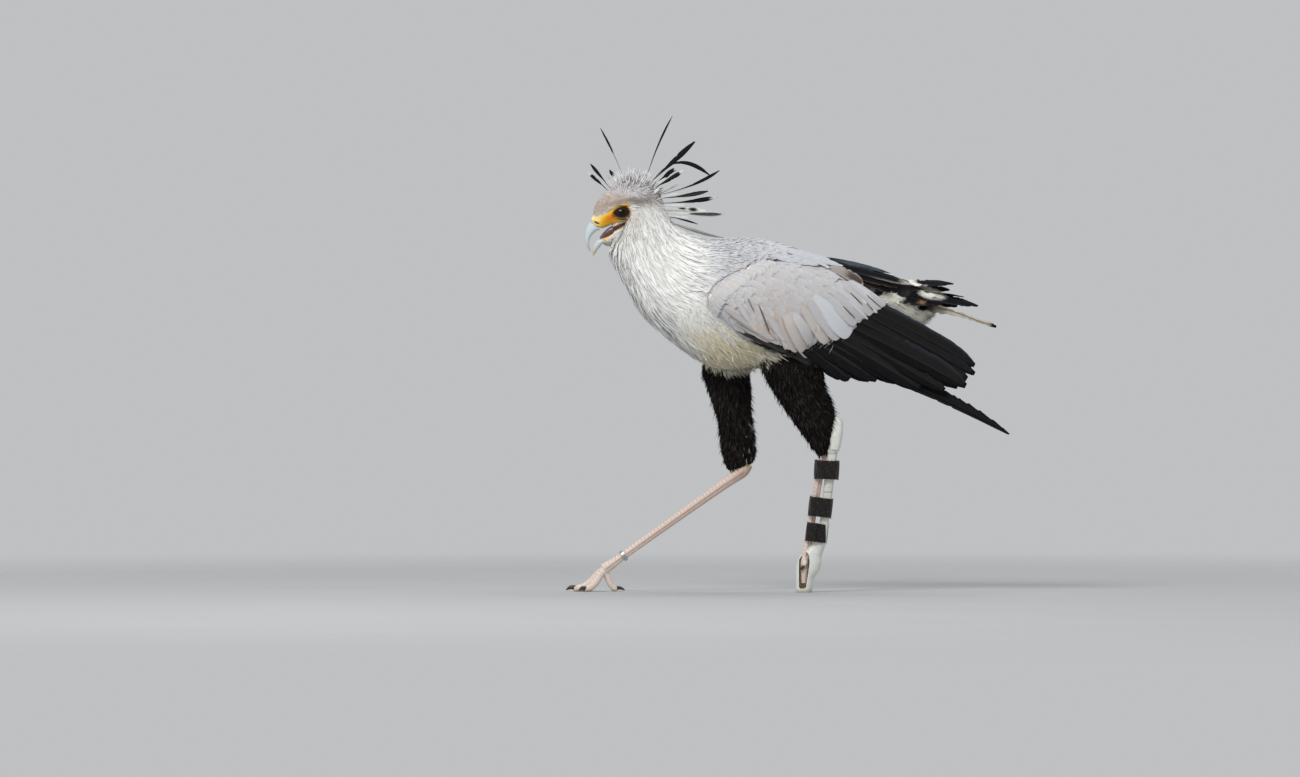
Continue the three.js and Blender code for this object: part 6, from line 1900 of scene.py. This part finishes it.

# narrow feathers laid over the coverts, the dark ones standing for the shaded gaps between coverts as painted shade:
# root, tip, width, colour
FINE = [
    [[757, 303], [769, 334], 1.7, (112, 104, 100)], [[746, 297], [753, 312], 1.3, (126, 120, 116)], [[771, 316], [778, 337], 1.6, (112, 104, 100)],
    [[741, 311], [763, 336], 7.0, (204, 196, 190)], [[749, 318], [773, 342], 7.0, (202, 189, 181)], [[761, 321], [781, 343], 4.6, (196, 182, 174)],
    [[735, 300], [749, 322], 5.0, (200, 199, 199)], [[772, 326], [780.5, 346], 3.4, (214, 212, 209)], [[776, 326], [785, 350], 3.2, (218, 217, 215)],
    [[779, 327], [788.5, 353], 3.2, (206, 203, 200)], [[783, 328], [792, 354], 3.2, (218, 217, 214)], [[787, 330], [797, 353], 3.6, (212, 209, 204)],
    [[811, 318], [819, 351], 3.2, (206, 194, 180)], [[815, 318], [823, 351], 3.2, (214, 207, 196)], [[819, 318], [828, 346], 3.8, (206, 193, 178)],
    [[802, 322], [808, 350], 1.4, (158, 150, 144)], [[846, 290], [861, 305], 1.1, (96, 92, 92)], [[836, 301], [854, 319], 1.1, (96, 92, 92)],
    [[856, 294], [873, 311.5], 1.1, (84, 80, 80)], [[864, 294], [880.5, 308.5], 1.0, (84, 80, 80)],
    [[842, 296], [867, 320], 2.4, (220, 221, 223)], [[850, 291], [877, 314], 2.2, (222, 223, 225)],
]
# small feathers round the leading edge: a near-white first row, a painted highlight along the edge, then grey ones over
# it
EDGE = []
for row_ in (0, 1, 2):
    for k_ in range(34):
        ev = 261 + 66 * k_ / 33
        eu = float(np.interp(ev, [261, 269, 274, 283, 292, 298, 306, 316, 328], [757, 743, 729, 714, 708, 706.5, 707, 712, 726]))
        fall = smooth(262, 300, ev)
        du_, dv_ = 1.0 - 0.25 * fall, 0.30 + 0.75 * fall
        s0, s1 = ((0.4, 5.5), (1.6, 10.5), (5.5, 18.0))[row_]
        # the first row's near-white is painted highlight along the leading edge
        tint = ((236, 235, 231), (203, 201, 202), (202, 201, 203))[row_]
        if row_ and k_ % 4 == 1:
            tint = (205, 199, 196)
        nudge = 1.3 * math.sin(k_ * 4.3 + row_)
        EDGE.append([[eu + s0 * du_, ev + s0 * dv_ + (0 if not row_ else nudge * 0.4)], [eu + s1 * du_, ev + s1 * dv_ + nudge * 0.5], (4.4, 6.5, 9.0)[row_], tint])


def wing_path(rows, share, lift, side):
    """Straight ways across the side view, laid on the wing as far as it goes and running on past its edge."""
    P = np.zeros((len(share), len(rows), 3))
    last = np.full(len(share), 0.080)
    for k, row in enumerate(rows):
        (ru, rv), (tu, tv) = row[0], row[1]
        xs, zs = X(ru + (tu - ru) * share), Z(rv + (tv - rv) * share)
        ys = [over_skin(x, z, side) for x, z in zip(xs, zs)]
        ok = np.array([y is not None for y in ys])
        good = np.array([y for y in ys if y is not None])
        if len(good) > 3:
            fit = np.polyfit(share[ok], good, 2 if ok.sum() > 5 else 1)
            y = np.polyval(fit, np.minimum(share, share[ok].max()))
            over = np.maximum(share - share[ok].max(), 0)
            y = y + np.minimum(np.polyval(np.polyder(fit), share[ok].max()), 0) * over
        else:
            y = last - 0.0012
        last = y
        P[:, k] = np.stack([xs, side * (y + lift[:, k]), zs], -1)
    D = unit(np.gradient(P, axis=0))
    out = np.zeros(P.shape)
    out[..., 1], out[..., 2] = side, 0.25
    return P, project(out, D), D


def nearest_place(loft, points):
    """Where on a loft each point lies nearest: (t, q)."""
    T, Q = np.meshgrid(np.linspace(0, 1, 161), np.linspace(0, 2 * np.pi, 121)[:-1], indexing="ij")
    G = loft(T, Q).reshape(-1, 3)
    k = np.array([np.argmin(np.sum((G - p) ** 2, 1)) for p in points])
    return T.ravel()[k], Q.ravel()[k]


for side, label, wing in ((-1, "left", wing_l), (1, "right", wing_r)):
    P, D, t, q = scatter(wing, 6000, lambda p: (np.abs(p[:, 1]) > 0.060) * 1.0 + 1e-9, 0.015, 0.93, seed=40 + side, apart=0.0072)
    u, v, y = uvy(P)
    big = smooth(714, 800, u) * 0.6 + 0.4 * smooth(285, 335, v)
    keep = rng.random(len(P)) < 1.0 - 0.60 * big
    keep &= y > 58
    P, t, q, u, v, big = P[keep], t[keep], q[keep], u[keep], v[keep], big[keep]
    n = len(P)
    ang, rel = covert_angle(u, v)
    way = side_way(ang + rng.normal(0, 2.5, n) + 7 * wobble(P, 40, 3), P)
    L = (0.018 + 0.024 * big) * (0.94 + 0.12 * rng.random(n)) * (1 - 0.35 * smooth(856, 872, u))
    W = (0.0125 + 0.0125 * big) * (0.94 + 0.12 * rng.random(n))
    lift = np.array([0.0, 0.0008, 0.0015, 0.0021, 0.0025, 0.0026, 0.0025])[:, None] * (0.9 + 0.2 * rng.random(n))[None]
    feathers("coverts_" + label, P, way, L, W, VANE_SHARE, VANE_WIDE, lift, covert_colours(P, 50 + side), uv_of(t, q), M_VANE, "plumage_grey",
             stiff=0.3, ring=RING6, cup=0.09, soft=0.6, paint=covert_paint, ragged=0.035, thick=0.05)
    # the rows along the rear and lower edge
    for name, rows_, lift_hi in (("greater_coverts_", GREATER, 0.0062), ("primary_coverts_", PRIMARY_COVERTS, 0.0048), ("fine_coverts_", FINE, 0.0068), ("edge_coverts_", EDGE, 0.0026)):
        R, Wd, dark, wayg, Lg = [], [], [], [], []
        for k, row in enumerate(rows_):
            ru, rv = row[0]
            tu, tv = row[1]
            R.append([float(X(ru)), side * (0.100 if name[0] == "p" else 0.104), float(Z(rv))])
            wayg.append([tu - ru, 0, -(tv - rv)])
            Lg.append(math.hypot(tu - ru, tv - rv) * UNIT)
            Wd.append(row[2] * UNIT)
            dark.append(row[3] if len(row) > 3 and name[0] == "p" else 0)
        R, wayg, Lg, Wd, dark = np.array(R), unit(np.array(wayg, float)), np.array(Lg), np.array(Wd), np.array(dark)
        n = len(R)
        share = np.array([0, 0.12, 0.25, 0.4, 0.55, 0.68, 0.8, 0.88, 0.94, 0.98, 1.0])
        wide = np.array([0.4, 0.62, 0.8, 0.92, 0.98, 1.0, 0.99, 0.95, 0.82, 0.56, 0.2])
        order = np.arange(n)[::-1] * 0.00035
        if name[0] == "e":
            order = np.repeat([0.0, 0.0007, 0.0014], n // 3)
        if name[0] == "f":
            order = np.where(np.arange(n) > 15, 0.0042, np.where(np.arange(n) > 6, 0.0010, 0.0))
        lift = (np.array([0.0008, 0.0018, 0.0028, 0.0036, 0.0042, 0.0046, 0.0048, 0.0049, 0.0049, 0.0048, 0.0047])[:, None] / 0.0049 * lift_hi + (order[::-1] if name[0] == "p" else order)[None] * 0.6)
        gc = covert_colours(R, 60 + side)
        if name[0] == "g":
            gc = blend_to(gc, srgb(216, 219, 223), (np.arange(n) % 3 == 1) * 0.45)
            gc = blend_to(gc, srgb(220, 224, 230), (np.arange(n) == 7) * 0.75)
            gc = blend_to(gc, srgb(212, 200, 190), (np.isin(np.arange(n), [3, 5])) * 0.5)
        if name[0] in "fe":
            gc = np.array([srgb(*row[3]) for row in rows_])
        if name[0] == "p":
            gc = blend_to(gc, srgb(176, 168, 164), np.full(n, 0.6))
            gc = blend_to(gc, srgb(46, 44, 44), dark * 0.95)
        feathers(name + label, R, wayg, Lg, Wd, share, wide, lift, gc, uv_of(*nearest_place(wing, R)), M_VANE, "plumage_grey",
                 ring=RING6, cup=0.10, soft=0.35, paint=covert_paint, ragged=0.035, thick=0.05, path=wing_path(rows_, share, lift, side))


# ---------------------------------------------------------------- back and shoulders
def back_density(p):
    u, v, y = uvy(p)
    m = inside(u, v, [(672, 212), (700, 222), (740, 226), (800, 240), (850, 255), (905, 272), (908, 288), (880, 292), (850, 284), (820, 284), (790, 286), (740, 300), (716, 318), (706, 300), (694, 262)], 2)
    return (m > 0.5) * ~under_wing(u, v, y) * 1.0 + 1e-9


P, D, t, q = scatter(body, 6400, back_density, 0.38, 0.97, seed=70)
u, v, y = uvy(P)
keep = (back_density(P) > 0.5) & (rng.random(len(P)) < smooth(800, 745, u))
P, D, t, q, u, v, y = P[keep], D[keep], t[keep], q[keep], u[keep], v[keep], y[keep]
n = len(P)
L = 0.020 + 0.010 * rng.random(n)
lift = np.array([0.0, 0.0022, 0.0040, 0.0048])[:, None] * (0.75 + 0.35 * rng.random(n))[None]
c = shade(markings(P, False), 0.04, 70)
c = blend_to(c, srgb(216, 217, 219), smooth(0.1, 0.8, wobble(P, 120, 4)) * 0.5)
D = unit(D + rng.normal(0, 0.06, D.shape) + 0.12 * wobble(P, 90, 2)[:, None] + np.stack([np.zeros(n), np.zeros(n), -0.10 * smooth(10, 50, y)], -1))
feathers("coat_mantle", P, D, short_of_wing(P, D, L), 0.0020 + 0.0016 * rng.random(n), *HAIR, lift, c, uv_of(t, q), M_SOFT, "plumage_grey", stiff=0.25, cup=0.3, soft=0.65,
         paint=root_shade_paint(0.82, 1.03), bend=rng.normal(0, 0.05, n))

P, D, t, q = scatter(body, 9000, back_density, 0.38, 0.97, seed=71, apart=0.0078)
u, v, y = uvy(P)
keep = (back_density(P) > 0.5) & (rng.random(len(P)) < smooth(728, 770, u))
P, D, t, q, u, v, y = P[keep], D[keep], t[keep], q[keep], u[keep], v[keep], y[keep]
n = len(P)
big = smooth(730, 800, u)
L = (0.028 + 0.014 * big) * (0.9 + 0.2 * rng.random(n))
L *= 1 - 0.3 * smooth(870, 905, u)
W = 0.0145 + 0.0050 * big
lift = np.array([0.0, 0.0014, 0.0027, 0.0038, 0.0045, 0.0048, 0.0048])[:, None] * (0.85 + 0.25 * rng.random(n))[None]
c = shade(markings(P, False), 0.02, 71)
c = blend_to(c, srgb(206, 208, 211), spot(u, v, 770, 252, 60, 22, 0.5) * 0.45)
c = blend_to(c, srgb(150, 152, 158), (rng.random(n) < 0.05) * 0.5)
c = blend_to(c, srgb(36, 36, 40), smooth(858, 878, u) * smooth(300, 286, v) * 0.9)
D = unit(D + np.stack([np.zeros(n), np.zeros(n), -0.12 * smooth(10, 50, y)], -1))
feathers("coat_back", P, D, np.maximum(short_of_wing(P, D, L), 0.012), W, VANE_SHARE, VANE_WIDE, lift, c, uv_of(t, q), M_VANE, "plumage_grey", stiff=0.3, ring=RING6, cup=0.10, soft=0.6,
         paint=covert_paint, ragged=0.04, thick=0.05)


# ---------------------------------------------------------------- breast side, belly and under the tail
def belly_density(p):
    u, v, y = uvy(p)
    m = inside(u, v, [(676, 300), (706, 296), (730, 312), (770, 330), (830, 320), (860, 306), (905, 288), (945, 296), (945, 335), (880, 345), (820, 375), (700, 392), (655, 350)], 2)
    return (m > 0.5) * ~under_wing(u, v, y) * (0.45 + 0.55 * smooth(60, 20, y) + 0.4 * (u < 780)) + 1e-9


for side, seed in ((-1, 81), (1, 82)):
    P, D, t, q = scatter(body, 5200, lambda p: belly_density(p) * (np.sign(p[:, 1]) == side), 0.45, 1.0, seed=seed)
    keep = belly_density(P) > 0.1
    P, D, t, q = P[keep], D[keep], t[keep], q[keep]
    u, v, y = uvy(P)
    n = len(P)
    tail_end = smooth(860, 915, u)
    L = 0.020 + 0.012 * rng.random(n) + 0.012 * tail_end
    fluff = smooth(335, 362, v) * smooth(830, 780, u)
    lift = np.array([0.0, 0.0026, 0.0050, 0.0062])[:, None] * (0.7 + 0.5 * rng.random(n) + 0.5 * fluff * rng.random(n))[None]
    D = unit(D + rng.normal(0, 0.10, D.shape) + np.stack([np.zeros(n), np.zeros(n), -0.35 * fluff], -1))
    L = short_of_wing(P, D, L)
    c = shade(markings(P, False), 0.05, seed)
    c = blend_to(c, srgb(242, 238, 226), (rng.random(n) < 0.3) * 0.55)
    c = blend_to(c, srgb(240, 238, 222), tail_end * 0.4)
    c = blend_to(c, srgb(150, 144, 120), (np.random.default_rng(seed + 500).random(n) < 0.16) * tail_end * 0.5)
    feathers("coat_belly_%s" % ("l" if side < 0 else "r"), P, D, L, 0.0018 + 0.0014 * rng.random(n), *HAIR, lift, c, uv_of(t, q), M_SOFT, "plumage_white",
             stiff=0.3, cup=0.3, soft=0.7, paint=root_shade_paint(0.76, 1.04), bend=rng.normal(0, 0.07, n), bias=np.array([0, 0, -0.25]) * 1.0)

# the white tuft beside the root of the tail
P, D, t, q = scatter(body, 900, lambda p: spot(U_of(p[:, 0]), V_of(p[:, 2]), 885, 299, 8, 4.5, 0.3) * (np.abs(p[:, 1]) > 0.012) + 1e-9, 0.75, 1.0, seed=85)
u, v, y = uvy(P)
keep = spot(u, v, 885, 299, 8, 4.5, 0.3) > 0.3
P, D, t, q, u, v = P[keep], D[keep], t[keep], q[keep], u[keep], v[keep]
n = len(P)
print("white tuft", n)
lift = np.array([0.0, 0.0030, 0.0054, 0.0062])[:, None] * (0.7 + 0.6 * rng.random(n))[None]
D = unit(D + rng.normal(0, 0.22, D.shape))
feathers("coat_tail_tuft", P, D, 0.011 + 0.007 * rng.random(n), 0.0022 + 0.0014 * rng.random(n), *HAIR, lift, shade(np.tile(srgb(246, 243, 232), (n, 1)), 0.03, 85), uv_of(t, q), M_SOFT,
         "plumage_white", stiff=0.3, cup=0.3, soft=0.6, paint=root_shade_paint(0.84, 1.03), bend=rng.normal(0, 0.12, n))


# ---------------------------------------------------------------- shaggy black thighs
for loft_, label, seed in ((thigh_l, "left", 91), (thigh_r, "right", 92)):
    P, D, t, q = scatter(loft_, 5600, lambda p: (V_of(p[:, 2]) > 356) * 1.0 + 1e-9, 0.08, 1.0, seed=seed)
    u, v, y = uvy(P)
    keep = v > 354
    P, D, t, q, u, v = P[keep], D[keep], t[keep], q[keep], u[keep], v[keep]
    n = len(P)
    down = np.array([0, 0, -1.0])
    lean = clumps(P, 85, seed)
    lock = wobble(P, 120, seed + 2)
    L = (0.014 + 0.010 * rng.random(n) + 0.007 * smooth(0.1, 0.9, lock)) * (1 - 0.25 * smooth(440, 462, v))
    stand = 0.8 + 0.5 * rng.random(n) + 1.1 * smooth(0.1, 0.9, lock) * rng.random(n)
    lift = np.array([0.0, 0.0026, 0.0052, 0.0066])[:, None] * (stand * (1 - 0.4 * smooth(440, 462, v)))[None]
    way = unit(D + 0.25 * down + 0.42 * lean + rng.normal(0, 0.10, D.shape))
    c = shade(np.tile(THIGH_BLACK, (n, 1)), 0.22, seed)
    c = blend_to(c, srgb(70, 56, 44), (rng.random(n) < 0.10) * 0.5 * smooth(380, 460, v))
    c = blend_to(c, srgb(60, 58, 62), smooth(0.3, 0.9, lock) * 0.35)
    feathers("coat_thigh_" + label, P, way, L, 0.0020 + 0.0018 * rng.random(n), *HAIR, lift, c, uv_of(t, q), M_SHAG, "plume_black",
             stiff=0.55, cup=0.3, soft=0.35, paint=root_shade_paint(0.7, 1.2), bend=rng.normal(0, 0.10, n))
    P, D, t, q = scatter(loft_, 1500, lambda p: (V_of(p[:, 2]) > 362) * 1.0 + 1e-9, 0.10, 1.0, seed=seed + 4)
    keep = V_of(P[:, 2]) > 360
    P, D, t, q = P[keep], D[keep], t[keep], q[keep]
    u, v, y = uvy(P)
    n = len(P)
    p0, n0 = on_skin(P)
    lock = wobble(P, 110, seed + 5)
    way = unit(D * 0.85 + n0 * (0.26 + 0.30 * rng.random(n))[:, None] * (1 - 0.5 * smooth(436, 462, v))[:, None] + 0.34 * clumps(P, 90, seed) + rng.normal(0, 0.10, D.shape))
    c = shade(np.tile(THIGH_BLACK, (n, 1)), 0.25, seed + 6)
    c = blend_to(c, srgb(58, 54, 56), (rng.random(n) < 0.4) * 0.5)
    if label == "right":
        c = blend_to(c, srgb(150, 144, 140), (rng.random(n) < 0.5) * spot(u, v, 750, 440, 7, 24, 0.6) * 0.75)
    free_strands("coat_thigh_tufts_" + label, p0 + n0 * 0.001, way, (0.014 + 0.012 * rng.random(n) ** 1.5) * (1 - 0.35 * smooth(436, 462, v)), 0.0022 + 0.0022 * rng.random(n),
                 c, uv_of(t, q), M_SHAG, wide=[0.7, 1.0, 0.6, 0.05], paint=root_shade_paint(0.8, 1.25), soft=0.5)

# a loose fringe under the belly, over the tops of the thighs
P, D, t, q = scatter(body, 900, lambda p: inside(*uvy(p)[:2], [(694, 352), (720, 350), (800, 346), (830, 350), (826, 372), (760, 390), (700, 386)], 2) + 1e-9, 0.45, 1.0, seed=97)
keep = inside(*uvy(P)[:2], [(694, 352), (720, 350), (800, 346), (830, 350), (826, 372), (760, 390), (700, 386)], 2) > 0.3
P, D, t, q = P[keep], D[keep], t[keep], q[keep]
u, v, y = uvy(P)
n = len(P)
p0, n0 = on_skin(P)
way = unit(D * 0.7 + n0 * 0.12 + np.array([0, 0, -0.42]) + 0.25 * clumps(P, 110, 4.0) + rng.normal(0, 0.16, D.shape))
c = shade(markings(P, False), 0.06, 98)
c = blend_to(c, srgb(246, 243, 232), (rng.random(n) < 0.4) * 0.6)
free_strands("coat_fringe", p0 + n0 * 0.0015, way, 0.012 + 0.012 * rng.random(n), 0.0016 + 0.0018 * rng.random(n), c, uv_of(t, q), M_SOFT,
             wide=[0.7, 1.0, 0.6, 0.05], paint=root_shade_paint(0.9, 1.03), soft=0.75)


# ---------------------------------------------------------------- nothing goes below the floor
for ob in bpy.data.objects:
    if ob.type == "MESH" and len(ob.data.vertices) > 8:
        low = coords(ob)
        if low[:, 2].min() < -1e-6:
            print("%-18s lowest %.5f, raised to the floor" % (ob.name, low[:, 2].min()))
            low[:, 2] = np.maximum(low[:, 2], 0.0)
            set_coords(ob, low)
